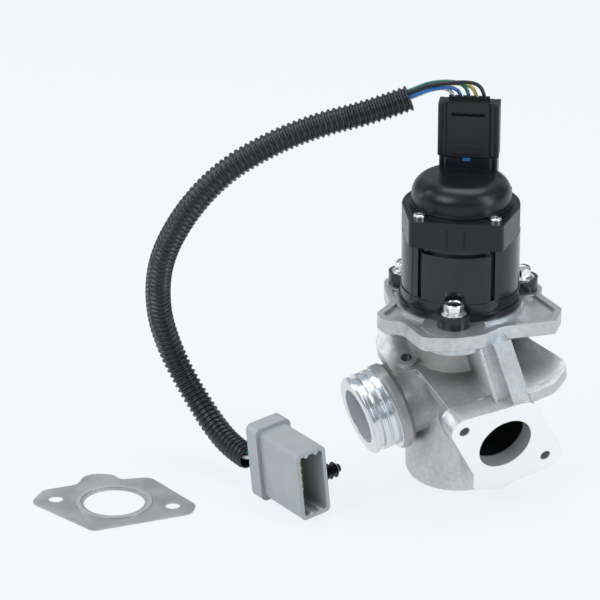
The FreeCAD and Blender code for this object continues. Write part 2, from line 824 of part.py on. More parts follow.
def solenoid_housing():
    shell = cylinder(HOUSING_R, PLATE_TOP_Z, HOUSING_TOP_Z)
    band = cylinder(HOUSING_R + BAND_STEP, PLATE_TOP_Z, BAND_Z)
    base = cylinder(BASE_RING_R, PLATE_TOP_Z, PLATE_TOP_Z + BASE_RING_HEIGHT)
    parts = [shell, band, base]
    for angle in EAR_ANGLES:
        ear = cylinder(EAR_R, PLATE_TOP_Z, EAR_TOP_Z, EAR_CIRCLE_R)
        web = block(BASE_RING_R - 5.0, EAR_CIRCLE_R, -EAR_R, EAR_R, PLATE_TOP_Z, EAR_TOP_Z)
        parts += [turned(ear, angle), turned(web, angle)]
    body = joined(parts)
    cuts = [cylinder(HOUSING_BORE_R, housing_floor_z(), HOUSING_TOP_Z)]
    cuts.append(cylinder(HOUSING_EYE_R, PLATE_TOP_Z, housing_floor_z()))
    for x, y in ear_places():
        cuts.append(cylinder(EAR_BUSH_R, PLATE_TOP_Z, EAR_TOP_Z, x, y))
        pocket = BOLT_FLANGE_R + BOLT_POCKET_MARGIN
        cuts.append(cylinder(pocket, EAR_TOP_Z, EAR_TOP_Z + 8.0, x, y))
    cuts += panel_cuts()
    return body.cut(cuts)


def panel_cuts():
    """Two upright slots beside the front panel, and the recess above its ledge."""
    cuts = []
    for side in (-1.0, 1.0):
        half = PANEL_SLOT_WIDTH / 2.0
        slot = block(HOUSING_R - PANEL_SLOT_DEPTH, HOUSING_R + 2.0, -half, half,
                     PANEL_BOTTOM_Z, HOUSING_TOP_Z)
        cuts.append(turned(slot, -90.0 + side * PANEL_HALF_ANGLE))
    ledge = Part.makeCylinder(HOUSING_R + 2.0, HOUSING_TOP_Z - PANEL_LEDGE_Z,
                              Vector(0, 0, PANEL_LEDGE_Z), Vector(0, 0, 1),
                              2.0 * PANEL_HALF_ANGLE)
    ledge = turned(ledge, -90.0 - PANEL_HALF_ANGLE)
    cuts.append(ledge.cut(cylinder(HOUSING_R - PANEL_LEDGE_DEPTH, PANEL_LEDGE_Z, HOUSING_TOP_Z)))
    return cuts


def ear_bushes():
    return group([tube(EAR_BUSH_R, EAR_BUSH_BORE_R, PLATE_TOP_Z, EAR_TOP_Z, x, y)
                  for x, y in ear_places()])


def hexagon(flats, low, high):
    radius = flats / math.sqrt(3.0)
    corners = []
    for step in range(6):
        turn = math.radians(60.0 * step)
        corners.append((radius * math.cos(turn), radius * math.sin(turn), 0.0))
    return prism(corners, low, high)


def flange_bolt():
    shank = cylinder(BOLT_R, PLATE_TOP_Z - BOLT_DEPTH, EAR_TOP_Z)
    flange = Part.makeCone(BOLT_FLANGE_R, BOLT_HEX_FLATS / 2.0 + 0.4, BOLT_FLANGE_HEIGHT,
                           Vector(0, 0, EAR_TOP_Z))
    top = EAR_TOP_Z + BOLT_HEX_HEIGHT
    head = hexagon(BOLT_HEX_FLATS, EAR_TOP_Z, top)
    dish = Part.makeCone(BOLT_HEX_FLATS / 2.0 - 0.9, BOLT_HEX_FLATS / 2.0 - 0.5, 0.5,
                         Vector(0, 0, top - 0.5))
    crown = Part.makeCone(BOLT_HEX_FLATS / 2.0 + 1.9, BOLT_HEX_FLATS / 2.0 - 0.1, 2.6,
                          Vector(0, 0, top - 2.6))
    skirt = cylinder(BOLT_FLANGE_R + 1.0, EAR_TOP_Z, top - 2.6)
    return joined([shank, flange, head.common(joined([crown, skirt]))]).cut(dish)


def ear_bolts():
    bolts = []
    for index, (x, y) in enumerate(ear_places()):
        bolt = turned(flange_bolt(), 25.0 * index + 8.0)
        bolt.translate(Vector(x, y, 0.0))
        bolts.append(bolt)
    return group(bolts)


# Solenoid

def yoke_cup():
    low = housing_floor_z() + YOKE_FLOOR_GAP
    cup = cylinder(YOKE_R, low, YOKE_TOP_Z)
    cup = cup.cut(cylinder(YOKE_R - YOKE_WALL, low + YOKE_WALL, YOKE_TOP_Z))
    return cup.cut(cylinder(SLEEVE_R, low, low + YOKE_WALL))


def yoke_floor_top_z():
    return housing_floor_z() + YOKE_FLOOR_GAP + YOKE_WALL


def guide_sleeve():
    low = housing_floor_z() + YOKE_FLOOR_GAP
    return tube(SLEEVE_R, SLEEVE_BORE_R, low, SLEEVE_TOP_Z)


def coil_bobbin():
    low = yoke_floor_top_z()
    profile = (
        (BOBBIN_BORE_R, low),
        (BOBBIN_FLANGE_R, low),
        (BOBBIN_FLANGE_R, low + BOBBIN_FLANGE_THICKNESS),
        (BOBBIN_CORE_R, low + BOBBIN_FLANGE_THICKNESS),
        (BOBBIN_CORE_R, BOBBIN_TOP_Z - BOBBIN_FLANGE_THICKNESS),
        (BOBBIN_FLANGE_R, BOBBIN_TOP_Z - BOBBIN_FLANGE_THICKNESS),
        (BOBBIN_FLANGE_R, BOBBIN_TOP_Z),
        (BOBBIN_BORE_R, BOBBIN_TOP_Z),
    )
    return revolved(profile)


def coil_winding():
    low = yoke_floor_top_z() + BOBBIN_FLANGE_THICKNESS
    return tube(WINDING_R, BOBBIN_CORE_R, low, BOBBIN_TOP_Z - BOBBIN_FLANGE_THICKNESS)


def upper_pole():
    """Pole whose nose the armature stops short of at full lift."""
    nose_z = armature_top_z() + VALVE_LIFT + POLE_GAP
    flange_top = POLE_FLANGE_Z + POLE_FLANGE_HEIGHT
    profile = (
        (POLE_BORE_R, nose_z),
        (POLE_NOSE_R - 2.0, nose_z),
        (POLE_NOSE_R, POLE_FLANGE_Z),
        (POLE_R, POLE_FLANGE_Z),
        (POLE_R, flange_top),
        (POLE_BORE_R, flange_top),
    )
    return revolved(profile)


def armature():
    top = ARMATURE_Z + ARMATURE_HEIGHT
    outer = SLEEVE_BORE_R - RUNNING_CLEARANCE
    body = cylinder(outer, ARMATURE_Z, top)
    vents = [cylinder(1.2, ARMATURE_Z, top, 6.4 * math.cos(turn), 6.4 * math.sin(turn))
             for turn in (0.0, math.pi / 2.0, math.pi, 1.5 * math.pi)]
    return body.cut([cylinder(STEM_R, ARMATURE_Z, STEM_TOP_Z)] + vents)


# Collar, domed cover and screws

def collar_outline(inset=0.0):
    half = COLLAR_HALF_WIDTH - inset
    front = COLLAR_FRONT_Y + inset
    wide = COLLAR_R - inset
    corner = COLLAR_CORNER_R
    return (
        (-half, front, corner),
        (half, front, corner),
        (wide + 0.2, -3.0, 3.0),
        (wide, 2.0, 0.0),
        (-wide, 2.0, 0.0),
        (-wide - 0.2, -3.0, 3.0),
    )


def collar_body(inset, low, high):
    """Square front, round middle and a squared rear that carries the rear screws."""
    front = prism(collar_outline(inset), low, high)
    corner = COLLAR_REAR_CORNER_R - inset
    rear_y = SCREW_Y + corner
    rear = rounded_box(0.0, rear_y / 2.0, SCREW_X + corner, rear_y / 2.0, corner, low, high)
    return joined([front, cylinder(COLLAR_R - inset, low, high), rear])


def screw_places():
    return [(side * SCREW_X, end * SCREW_Y) for end in (-1.0, 1.0) for side in (-1.0, 1.0)]


def collar():
    body = collar_body(0.0, HOUSING_TOP_Z, COLLAR_TOP_Z)
    skirt = cylinder(HOUSING_BORE_R, COLLAR_SKIRT_Z, HOUSING_TOP_Z)
    skirt = skirt.cut(cylinder(HOUSING_BORE_R - COLLAR_SKIRT_WALL, COLLAR_SKIRT_Z, HOUSING_TOP_Z))
    tab_half = COLLAR_GROOVE_SPACING / 2.0
    tab = block(-tab_half, tab_half, COLLAR_FRONT_Y, COLLAR_FRONT_Y + 1.6,
                HOUSING_TOP_Z - COLLAR_TAB_DROP, HOUSING_TOP_Z + 1.0)
    body = joined([body, skirt, tab])
    floor_z = HOUSING_TOP_Z + COLLAR_FLOOR_THICKNESS
    cuts = [collar_body(LID_RIM, COLLAR_TOP_Z - LID_DEPTH, COLLAR_TOP_Z)]
    cuts.append(cylinder(COLLAR_WELL_R, floor_z, COLLAR_TOP_Z))
    cuts.append(cylinder(COLLAR_EYE_R, HOUSING_TOP_Z, floor_z))
    half = COLLAR_GROOVE_WIDTH / 2.0
    for side in (-1.0, 1.0):
        x = side * COLLAR_GROOVE_SPACING / 2.0
        cuts.append(block(x - half, x + half, COLLAR_FRONT_Y - 1.0, COLLAR_FRONT_Y + 0.8,
                          HOUSING_TOP_Z - 2.0, COLLAR_GROOVE_TOP_Z))
    for x, y in screw_places():
        cuts.append(cylinder(SCREW_R, COLLAR_TOP_Z - SCREW_DEPTH, COLLAR_TOP_Z, x, y))
    cuts.append(cover_seal_groove())
    return body.cut(cuts)


def cover_seal_groove():
    low = COLLAR_TOP_Z - LID_DEPTH - 2.0 * COVER_SEAL_CORD_R
    half = COVER_SEAL_CORD_R + O_RING_GROOVE_MARGIN
    return tube(COVER_SEAL_R + half, COVER_SEAL_R - half, low, COLLAR_TOP_Z - LID_DEPTH)


def cover_seal():
    centre = Vector(0, 0, COLLAR_TOP_Z - LID_DEPTH - COVER_SEAL_CORD_R)
    return Part.makeTorus(COVER_SEAL_R, COVER_SEAL_CORD_R, centre)


def dome_solid(radius, top, crown, shoulder, low):
    """Round dome with a rolled shoulder and a slightly raised crown."""
    centre = Vector(radius - shoulder, 0.0, top - crown - shoulder)
    slope = math.radians(45.0)
    middle = centre + Vector(shoulder * math.cos(slope), 0.0, shoulder * math.sin(slope))
    roof_edge = Vector(radius - shoulder, 0.0, top - crown)
    wall_top = Vector(radius, 0.0, top - crown - shoulder)
    foot = Vector(radius, 0.0, low)
    axis_foot = Vector(0.0, 0.0, low)
    axis_top = Vector(0.0, 0.0, top)
    edges = [
        Part.LineSegment(axis_foot, foot).toShape(),
        Part.LineSegment(foot, wall_top).toShape(),
        Part.Arc(wall_top, middle, roof_edge).toShape(),
        Part.LineSegment(roof_edge, axis_top).toShape(),
        Part.LineSegment(axis_top, axis_foot).toShape(),
    ]
    face = Part.Face(Part.Wire(edges))
    return face.revolve(Vector(0, 0, 0), Vector(0, 0, 1), 360.0)


def neck_centre_y():
    return (NECK_FRONT_Y + NECK_BACK_Y) / 2.0


def neck_half_depth():
    return (NECK_BACK_Y - NECK_FRONT_Y) / 2.0


def header_half_depth():
    return neck_half_depth() - HEADER_INSET


def dome_cover():
    lid_low = COLLAR_TOP_Z - LID_DEPTH
    lid = collar_body(LID_RIM + LID_CLEARANCE, lid_low, COLLAR_TOP_Z)
    foot = cylinder(DOME_FOOT_R, COLLAR_TOP_Z, DOME_FOOT_Z)
    dome = dome_solid(DOME_R, DOME_TOP_Z, DOME_CROWN, DOME_SHOULDER_R, lid_low)
    neck_foot_z = DOME_TOP_Z - DOME_SHOULDER_R
    side_depth = (NECK_BACK_Y - NECK_SIDE_Y) / 2.0
    sides = rounded_box(NECK_CENTRE_X, NECK_BACK_Y - side_depth, NECK_HALF_WIDTH, side_depth,
                        1.2, neck_foot_z, NECK_TOP_Z)
    neck = rounded_box(NECK_CENTRE_X, neck_centre_y(), NECK_FRONT_HALF_WIDTH, neck_half_depth(),
                       1.2, neck_foot_z, NECK_TOP_Z)
    header = rounded_box(NECK_CENTRE_X, neck_centre_y(), HEADER_HALF_WIDTH, header_half_depth(),
                         1.4, NECK_TOP_Z - 1.0, HEADER_TOP_Z)
    body = joined([lid, foot, dome, sides, neck, header])
    hollow = dome_solid(DOME_R - DOME_WALL, DOME_TOP_Z - DOME_WALL, DOME_CROWN,
                        DOME_SHOULDER_R - DOME_WALL, lid_low)
    socket = rounded_box(NECK_CENTRE_X, neck_centre_y(), HEADER_HALF_WIDTH - HEADER_WALL,
                         header_half_depth() - HEADER_WALL, 0.6, NECK_TOP_Z - 2.0, HEADER_TOP_Z)
    perch = cylinder(SENSOR_SPRING_R + 1.2, SENSOR_SPRING_TOP_Z, DOME_TOP_Z - DOME_WALL)
    body = body.cut([hollow.cut(perch), socket, seal_tongue(SEAL_CLEARANCE)])
    cuts = [cylinder(SCREW_R, lid_low, COLLAR_TOP_Z, x, y) for x, y in screw_places()]
    cuts += pin_solids()
    return body.cut(cuts)


def pin_solids():
    pins = []
    for index in range(5):
        x = wire_x(index)
        pins.append(block(x - PIN_WIDTH / 2.0, x + PIN_WIDTH / 2.0, WIRE_Y - PIN_THICKNESS / 2.0,
                          WIRE_Y + PIN_THICKNESS / 2.0, PIN_FOOT_Z, PIN_TOP_Z))
    return pins


def cover_screws():
    screws = []
    top = COLLAR_TOP_Z + SCREW_HEAD_HEIGHT
    for x, y in screw_places():
        shank = cylinder(SCREW_R, COLLAR_TOP_Z - SCREW_DEPTH, COLLAR_TOP_Z, x, y)
        head = Part.makeCylinder(SCREW_HEAD_R, SCREW_HEAD_HEIGHT, Vector(x, y, COLLAR_TOP_Z))
        rim = [edge for edge in head.Edges if edge.CenterOfMass.z > top - 1e-6
               and edge.Curve.TypeId == "Part::GeomCircle"]
        head = head.makeFillet(0.9, rim)
        bars = [block(x - 1.5, x + 1.5, y - 0.35, y + 0.35, top - 0.9, top),
                block(x - 0.35, x + 0.35, y - 1.5, y + 1.5, top - 0.9, top)]
        screws.append(joined([shank, head]).cut(bars))
    return group(screws)


# Lift sensor

def armature_top_z():
    return ARMATURE_Z + ARMATURE_HEIGHT


def sensor_plunger():
    low = armature_top_z() + PLUNGER_GAP
    rod = cylinder(PLUNGER_R, low, PLUNGER_TOP_Z)
    slider = block(-SLIDER_HALF, SLIDER_HALF, -SLIDER_HALF, SLIDER_HALF,
                   PLUNGER_TOP_Z - SLIDER_HEIGHT, PLUNGER_TOP_Z)
    return joined([rod, slider])


def sensor_wiper():
    """Three spring fingers on a strip that is fixed to the slider."""
    low = PLUNGER_TOP_Z - SLIDER_HEIGHT + 1.0
    reach = TRACK_X - WIPER_GAP
    strips = [block(SLIDER_HALF, SLIDER_HALF + 0.4, -3.0, 3.0, low, low + 2.0)]
    for y in (-2.2, 0.0, 2.2):
        finger = Part.makePolygon([
            Vector(SLIDER_HALF, y - 0.5, low + 0.4),
            Vector(SLIDER_HALF + 0.4, y - 0.5, low + 0.4),
            Vector(reach, y - 0.5, low + 3.4),
            Vector(SLIDER_HALF + 2.0, y - 0.5, low + 3.6),
            Vector(SLIDER_HALF, y - 0.5, low + 0.4),
        ])
        strips.append(Part.Face(finger).extrude(Vector(0, 1.0, 0)))
    return joined(strips)


def sensor_track():
    low = HOUSING_TOP_Z + COLLAR_FLOOR_THICKNESS
    return block(TRACK_X, TRACK_X + TRACK_THICKNESS, -TRACK_HALF_WIDTH, TRACK_HALF_WIDTH,
                 low, TRACK_TOP_Z)


def sensor_spring():
    return coil(SENSOR_SPRING_R, SENSOR_SPRING_WIRE_R, PLUNGER_TOP_Z, SENSOR_SPRING_TOP_Z,
                SENSOR_SPRING_TURNS)


# Plug

def wire_x(index):
    return NECK_CENTRE_X + (index - 2) * WIRE_PITCH


def header_clearance(low, high):
    half_depth = header_half_depth() + PLUG_CLEARANCE
    return rounded_box(NECK_CENTRE_X, neck_centre_y(), HEADER_HALF_WIDTH + PLUG_CLEARANCE,
                       half_depth, 1.4, low, high)


def plug_bottom_z():
    return NECK_TOP_Z + SEAL_THICKNESS


def plug_body():
    """Body with a lower outlet shelf behind the comb that the wires bend over."""
    centre = NECK_CENTRE_X
    mid_y = (PLUG_FRONT_Y + PLUG_BACK_Y) / 2.0
    half_y = (PLUG_BACK_Y - PLUG_FRONT_Y) / 2.0
    front_half_y = (PLUG_SHELF_Y - PLUG_FRONT_Y) / 2.0
    parts = [
        rounded_box(centre, mid_y, PLUG_HALF_WIDTH, half_y, 1.6, plug_bottom_z(), PLUG_OUTLET_Z),
        rounded_box(centre, PLUG_FRONT_Y + front_half_y, PLUG_HALF_WIDTH, front_half_y, 1.6,
                    PLUG_OUTLET_Z - 2.0, PLUG_TOP_Z),
        block(centre - PLUG_COMB_HALF_WIDTH, centre + PLUG_COMB_HALF_WIDTH,
              PLUG_SHELF_Y - PLUG_COMB_THICKNESS, PLUG_SHELF_Y, PLUG_TOP_Z - 1.0, PLUG_COMB_Z),
    ]
    for side in (-1.0, 1.0):
        overlap = 0.4
        half_x = (PLUG_RAIL_WIDTH + overlap) / 2.0
        rail_x = centre + side * (PLUG_HALF_WIDTH - overlap + half_x)
        parts.append(rounded_box(rail_x, mid_y - 0.6, half_x, half_y - 1.0, 0.8,
                                 PLUG_RAIL_BOTTOM_Z, PLUG_TOP_Z - PLUG_RAIL_DROP))
    body = joined(parts)
    cuts = [header_clearance(plug_bottom_z(), HEADER_TOP_Z + 2.0)]
    for index in range(5):
        x = wire_x(index)
        cuts.append(cylinder(WIRE_HOLE_R, WIRE_FOOT_Z, PLUG_OUTLET_Z, x, WIRE_Y))
        cuts.append(block(x - 0.5, x + 0.5, PLUG_SHELF_Y - PLUG_COMB_THICKNESS, PLUG_SHELF_Y,
                          PLUG_COMB_Z - 0.7, PLUG_COMB_Z))
    half = LATCH_HALF_WIDTH + 0.5
    cuts.append(block(centre - half, centre + half, PLUG_FRONT_Y, PLUG_FRONT_Y + LATCH_INSET,
                      plug_bottom_z(), PLUG_TOP_Z))
    cuts.append(lock_space(0.0))
    return body.cut(cuts)


def lock_space(inset):
    """Cross slot for the lock slide near the top of the plug."""
    half = PLUG_HALF_WIDTH - 1.4 - inset
    front = PLUG_FRONT_Y + LATCH_INSET
    return block(NECK_CENTRE_X - half, NECK_CENTRE_X + half, front + inset,
                 front + LOCK_DEPTH - inset, LOCK_Z + inset, LOCK_Z + LOCK_HEIGHT - inset)


def plug_lock():
    return lock_space(0.1)


def plug_latch():
    front = PLUG_FRONT_Y + LATCH_INSET
    panel = rounded_box(NECK_CENTRE_X, 0.0, LATCH_HALF_WIDTH,
                        (LATCH_TOP_Z - LATCH_BOTTOM_Z) / 2.0, 1.2, 0.0, LATCH_THICKNESS)
    upright = Placement(Vector(0, front, (LATCH_TOP_Z + LATCH_BOTTOM_Z) / 2.0),
                        Rotation(Vector(1, 0, 0), 90.0))
    panel = placed(panel, upright)
    thumb = block(NECK_CENTRE_X - 6.5, NECK_CENTRE_X + 6.5, front - LATCH_THICKNESS - 0.7,
                  front - LATCH_THICKNESS, LATCH_BOTTOM_Z + 1.6, LATCH_BOTTOM_Z + 4.0)
    window = block(NECK_CENTRE_X - 7.5, NECK_CENTRE_X + 7.5, front - 5.0, front + 1.0,
                   LOCK_Z + 0.4, LOCK_Z + 1.9)
    return joined([panel, thumb]).cut(window)


def seal_tongue(margin):
    """Tongue of the seal in a slot of the neck's front, where its colour shows."""
    half = SEAL_TONGUE_HALF_WIDTH + margin
    back = neck_centre_y() - header_half_depth() - PLUG_CLEARANCE + margin
    return block(SEAL_TONGUE_X - half, SEAL_TONGUE_X + half, NECK_FRONT_Y + 0.1 - margin * 3.0,
                 back, NECK_TOP_Z - SEAL_TONGUE_DROP - margin, NECK_TOP_Z)


def plug_seal():
    """Flat ring round the header, between the neck and the plug."""
    high = plug_bottom_z()
    grow = PLUG_CLEARANCE + SEAL_WIDTH
    ring = rounded_box(NECK_CENTRE_X, neck_centre_y(), HEADER_HALF_WIDTH + grow,
                       header_half_depth() + grow, 1.4 + SEAL_WIDTH, NECK_TOP_Z, high)
    ring = ring.cut(header_clearance(NECK_TOP_Z, high))
    return joined([ring, seal_tongue(0.0)])


# Harness

def conduit_heading(first, second):
    return (Vector(*second) - Vector(*first)).normalize()


def bundle_offset(direction, index, radius, lift):
    """Place of one of the five wires round the axis of the conduit's mouth."""
    side = direction.cross(Vector(0, 0, 1)).normalize()
    up = side.cross(direction).normalize()
    turn = math.radians(BUNDLE_ANGLES[index])
    across = side * (radius * math.cos(turn))
    return across + up * (radius * math.sin(turn) + lift)


def upper_wire_points(index):
    """From the plug's hole, over in an arch, and down into the conduit."""
    inward = conduit_heading(CONDUIT_POINTS[0], CONDUIT_POINTS[1])
    offset = bundle_offset(inward, index, UPPER_BUNDLE_R, UPPER_BUNDLE_LIFT)
    mouth = Vector(*CONDUIT_POINTS[0]) + offset
    x = wire_x(index)
    return [
        (x, WIRE_Y, WIRE_FOOT_Z),
        (x, WIRE_Y, UPPER_WIRE_RISES[index]),
        *UPPER_WIRE_ARCHES[index],
        tuple(mouth - inward * UPPER_WIRE_GATE),
        tuple(mouth + inward * CONDUIT_MOUTH_DEPTH),
    ]


def upper_wire(index, name):
    return cord(upper_wire_points(index), WIRE_R, name)


def conduit():
    solid = cord(CONDUIT_POINTS, CONDUIT_R, "conduit")
    mouths = []
    for first, second in ((0, 1), (-1, -2)):
        inward = conduit_heading(CONDUIT_POINTS[first], CONDUIT_POINTS[second])
        mouths.append(Part.makeCylinder(CONDUIT_MOUTH_R, CONDUIT_MOUTH_DEPTH,
                                        Vector(*CONDUIT_POINTS[first]), inward))
    return solid.cut(mouths)


# Grey connector, built lying along X with its broad face on -Y, then stood in its place

def grey_frame():
    """Origin at the foot of the broad front-left face, X the way that the mate comes in."""
    stand = Placement(Vector(GREY_X, GREY_Y, 0.0), Rotation(Vector(0, 0, 1), GREY_AZIMUTH))
    edge = Vector(0.0, -GREY_THICKNESS / 2.0, 0.0)
    lean = Placement(Vector(0, 0, 0), Rotation(Vector(1, 0, 0), GREY_LEAN), edge)
    return stand.multiply(lean)


def grey_middle_z():
    return GREY_COLLAR_HEIGHT / 2.0


def along_x(half_y, half_z, radius, low, high):
    """Rounded bar along X, centred on the connector's axis."""
    bar = rounded_box(0.0, 0.0, half_y, half_z, radius, low, high)
    lay = Placement(Vector(0, 0, grey_middle_z()),
                    Rotation(Vector(0, 1, 0), Vector(0, 0, 1), Vector(1, 0, 0), "ZXY"))
    return placed(bar, lay)


def connector_shell():
    rear = -GREY_LENGTH / 2.0
    mouth = GREY_LENGTH / 2.0
    body = along_x(GREY_THICKNESS / 2.0, GREY_HEIGHT / 2.0, 2.4, rear, mouth)
    pocket_y = GREY_THICKNESS / 2.0 - GREY_WALL
    pocket_z = GREY_HEIGHT / 2.0 - GREY_WALL
    pocket = along_x(pocket_y, pocket_z, 1.4, mouth - GREY_POCKET_DEPTH, mouth)
    keys = []
    for end in (-1.0, 1.0):
        z = grey_middle_z() + end * pocket_z
        for y in (-2.6, 2.6):
            keys.append(Part.makeCylinder(GREY_KEY_R, GREY_POCKET_DEPTH,
                                          Vector(mouth - GREY_POCKET_DEPTH, y, z),
                                          Vector(1, 0, 0)))
    body = joined([body.cut(pocket)] + [key.common(pocket) for key in keys])
    wires = grey_bores(WIRE_HOLE_R, rear - 1.0, mouth - GREY_POCKET_DEPTH)
    return placed(body.cut(wires), grey_frame())


def grey_places():
    return [(0.0, grey_middle_z() + (index - 2) * GREY_PITCH) for index in range(5)]


def grey_bores(radius, low, high):
    return [Part.makeCylinder(radius, high - low, Vector(low, y, z), Vector(1, 0, 0))
            for y, z in grey_places()]


def connector_collar():
    rear = -GREY_LENGTH / 2.0
    low = rear - GREY_COLLAR_LENGTH
    outer = along_x(GREY_COLLAR_THICKNESS / 2.0, GREY_COLLAR_HEIGHT / 2.0, 3.0, low, rear)
    inner = along_x(GREY_COLLAR_THICKNESS / 2.0 - GREY_WALL,
                    GREY_COLLAR_HEIGHT / 2.0 - GREY_WALL, 1.6, low, rear - GREY_WALL)
    window = along_x(GREY_THICKNESS / 2.0 - GREY_WALL, GREY_HEIGHT / 2.0 - GREY_WALL, 1.4,
                     rear - GREY_WALL, rear)
    return placed(outer.cut([inner, window]), grey_frame())


def connector_grommet():
    rear = -GREY_LENGTH / 2.0
    low = rear - GREY_COLLAR_LENGTH + 2.0
    body = along_x(GREY_COLLAR_THICKNESS / 2.0 - GREY_WALL,
                   GREY_COLLAR_HEIGHT / 2.0 - GREY_WALL, 1.6, low, rear - GREY_WALL)
    plug = along_x(GREY_THICKNESS / 2.0 - GREY_WALL, GREY_HEIGHT / 2.0 - GREY_WALL, 1.4,
                   rear - GREY_WALL, rear)
    return placed(joined([body, plug]).cut(grey_bores(WIRE_R, low, rear)), grey_frame())


def connector_insert():
    floor = GREY_LENGTH / 2.0 - GREY_POCKET_DEPTH
    top = floor + GREY_INSERT_DEPTH
    body = along_x(GREY_INSERT_HALF_WIDTH, GREY_INSERT_HALF_HEIGHT, 1.0, floor, top)
    return placed(body.cut(grey_bores(GREY_PIN_R, floor, top)), grey_frame())


def connector_pins():
    floor = GREY_LENGTH / 2.0 - GREY_POCKET_DEPTH
    pins = []
    for y, z in grey_places():
        pins.append(Part.makeCylinder(GREY_PIN_R, GREY_PIN_REACH, Vector(floor, y, z),
                                      Vector(1, 0, 0)))
    return placed(group(pins), grey_frame())


def connector_seal():
    floor = GREY_LENGTH / 2.0 - GREY_POCKET_DEPTH
    half_y = GREY_THICKNESS / 2.0 - GREY_WALL
    half_z = GREY_HEIGHT / 2.0 - GREY_WALL
    outer = along_x(half_y, half_z, 1.4, floor, floor + GREY_SEAL_DEPTH)
    inner = along_x(half_y - GREY_SEAL_WALL, half_z - GREY_KEY_R - GREY_SEAL_WALL, 1.0,
                    floor, floor + GREY_SEAL_DEPTH)
    ring = outer.cut(inner)
    for end in (-1.0, 1.0):
        z = grey_middle_z() + end * half_z
        for y in (-2.6, 2.6):
            key = Part.makeCylinder(GREY_KEY_R, GREY_SEAL_DEPTH, Vector(floor, y, z),
                                    Vector(1, 0, 0))
            ring = ring.cut(key)
    return placed(ring, grey_frame())


def grey_point(x, y, z):
    return grey_frame().multVec(Vector(x, y, z))


def lower_wires():
    """Short wire ends from the conduit to the rear of the grey connector."""
    inward = conduit_heading(CONDUIT_POINTS[-1], CONDUIT_POINTS[-2])
    rear = -GREY_LENGTH / 2.0
    wires = []
    for index, (y, z) in enumerate(grey_places()):
        offset = bundle_offset(inward, LOWER_WIRE_SLOTS[index], LOWER_BUNDLE_R,
                               LOWER_BUNDLE_LIFT)
        mouth = Vector(*CONDUIT_POINTS[-1]) + offset
        points = [
            tuple(mouth + inward * CONDUIT_MOUTH_DEPTH),
            tuple(mouth - inward * LOWER_WIRE_GATE),
            tuple(grey_point(rear - GREY_COLLAR_LENGTH - LOWER_WIRE_BEND, y, z)),
            tuple(grey_point(rear, y, z)),
        ]
        wires.append(cord(points, WIRE_R, f"lower wire {index + 1}"))
    return group(wires)


def fir_tree_clip():
    side = GREY_THICKNESS / 2.0
    pad = block(CLIP_ALONG - CLIP_PAD_HALF, CLIP_ALONG + CLIP_PAD_HALF, side,
                side + CLIP_PAD_THICKNESS, CLIP_HEIGHT - 8.0, CLIP_HEIGHT + 4.0)
    base = Vector(CLIP_ALONG, side, CLIP_HEIGHT)
    stem = Part.makeCylinder(CLIP_STEM_R, CLIP_REACH, base, Vector(0, 1, 0))
    parts = [pad, stem]
    pitch = (CLIP_REACH - 4.0) / CLIP_FINS
    for index in range(CLIP_FINS):
        foot = base + Vector(0, 4.0 + pitch * index, 0)
        parts.append(Part.makeCone(CLIP_FIN_R, CLIP_STEM_R, pitch * 0.7, foot, Vector(0, 1, 0)))
    return placed(joined(parts), grey_frame())


# Gasket

GASKET_OUTLINE = (
    (-37.6, -4.6, 5.0),
    (-34.4, 8.4, 5.0),
    (-19.6, 16.2, 6.0),
    (-18.6, 28.6, 7.6),
    (-3.6, 28.6, 5.0),
    (-2.4, 23.6, 3.0),
    (12.0, 28.2, 6.0),
    (37.6, 2.0, 6.0),
    (36.6, -6.6, 5.0),
    (-4.8, -29.4, 4.0),
)


def port_gasket():
    sheet = prism(GASKET_OUTLINE, 0.0, GASKET_THICKNESS)
    bead = tube(GASKET_BEAD_R + GASKET_BEAD_WIDTH / 2.0, GASKET_BEAD_R - GASKET_BEAD_WIDTH / 2.0,
                GASKET_THICKNESS - 0.2, GASKET_THICKNESS + GASKET_BEAD_RISE)
    holes = [cylinder(GASKET_HOLE_R, -1.0, 3.0)]
    for side in (-0.5, 0.5):
        holes.append(cylinder(GASKET_BOLT_HOLE_R, -1.0, 3.0, side * GASKET_BOLT_SPACING))
    sheet = joined([sheet, bead]).cut(holes)
    stand = Placement(Vector(GASKET_X, GASKET_Y, 0.0), Rotation(Vector(0, 0, 1), GASKET_TURN))
    return placed(sheet, stand)


WIRE_NAMES = ("wire_white", "wire_blue", "wire_green", "wire_yellow", "wire_black")

PIECES = {
    "valve_casting": valve_casting,
    "seat_ring": seat_ring,
    "poppet_valve": poppet_valve,
    "guide_plate": guide_plate,
    "guide_bush": guide_bush,
    "stem_seal": stem_seal,
    "spring_retainer": spring_retainer,
    "return_spring": return_spring,
    "spring_seat": spring_seat,
    "base_o_ring": base_o_ring,
    "solenoid_housing": solenoid_housing,
    "ear_bushes": ear_bushes,
    "ear_bolts": ear_bolts,
    "yoke_cup": yoke_cup,
    "guide_sleeve": guide_sleeve,
    "coil_bobbin": coil_bobbin,
    "coil_winding": coil_winding,
    "upper_pole": upper_pole,
    "armature": armature,
    "collar": collar,
    "cover_seal": cover_seal,
    "dome_cover": dome_cover,
    "cover_screws": cover_screws,
    "sensor_plunger": sensor_plunger,
    "sensor_wiper": sensor_wiper,
    "sensor_track": sensor_track,
    "sensor_spring": sensor_spring,
    "terminal_pins": lambda: group(pin_solids()),
    "plug_seal": plug_seal,
    "plug_body": plug_body,
    "plug_latch": plug_latch,
    "plug_lock": plug_lock,
    "conduit": conduit,
    "connector_shell": connector_shell,
    "connector_collar": connector_collar,
    "connector_grommet": connector_grommet,
    "connector_insert": connector_insert,
    "connector_pins": connector_pins,
    "connector_seal": connector_seal,
    "lower_wires": lower_wires,
    "fir_tree_clip": fir_tree_clip,
    "port_gasket": port_gasket,
}


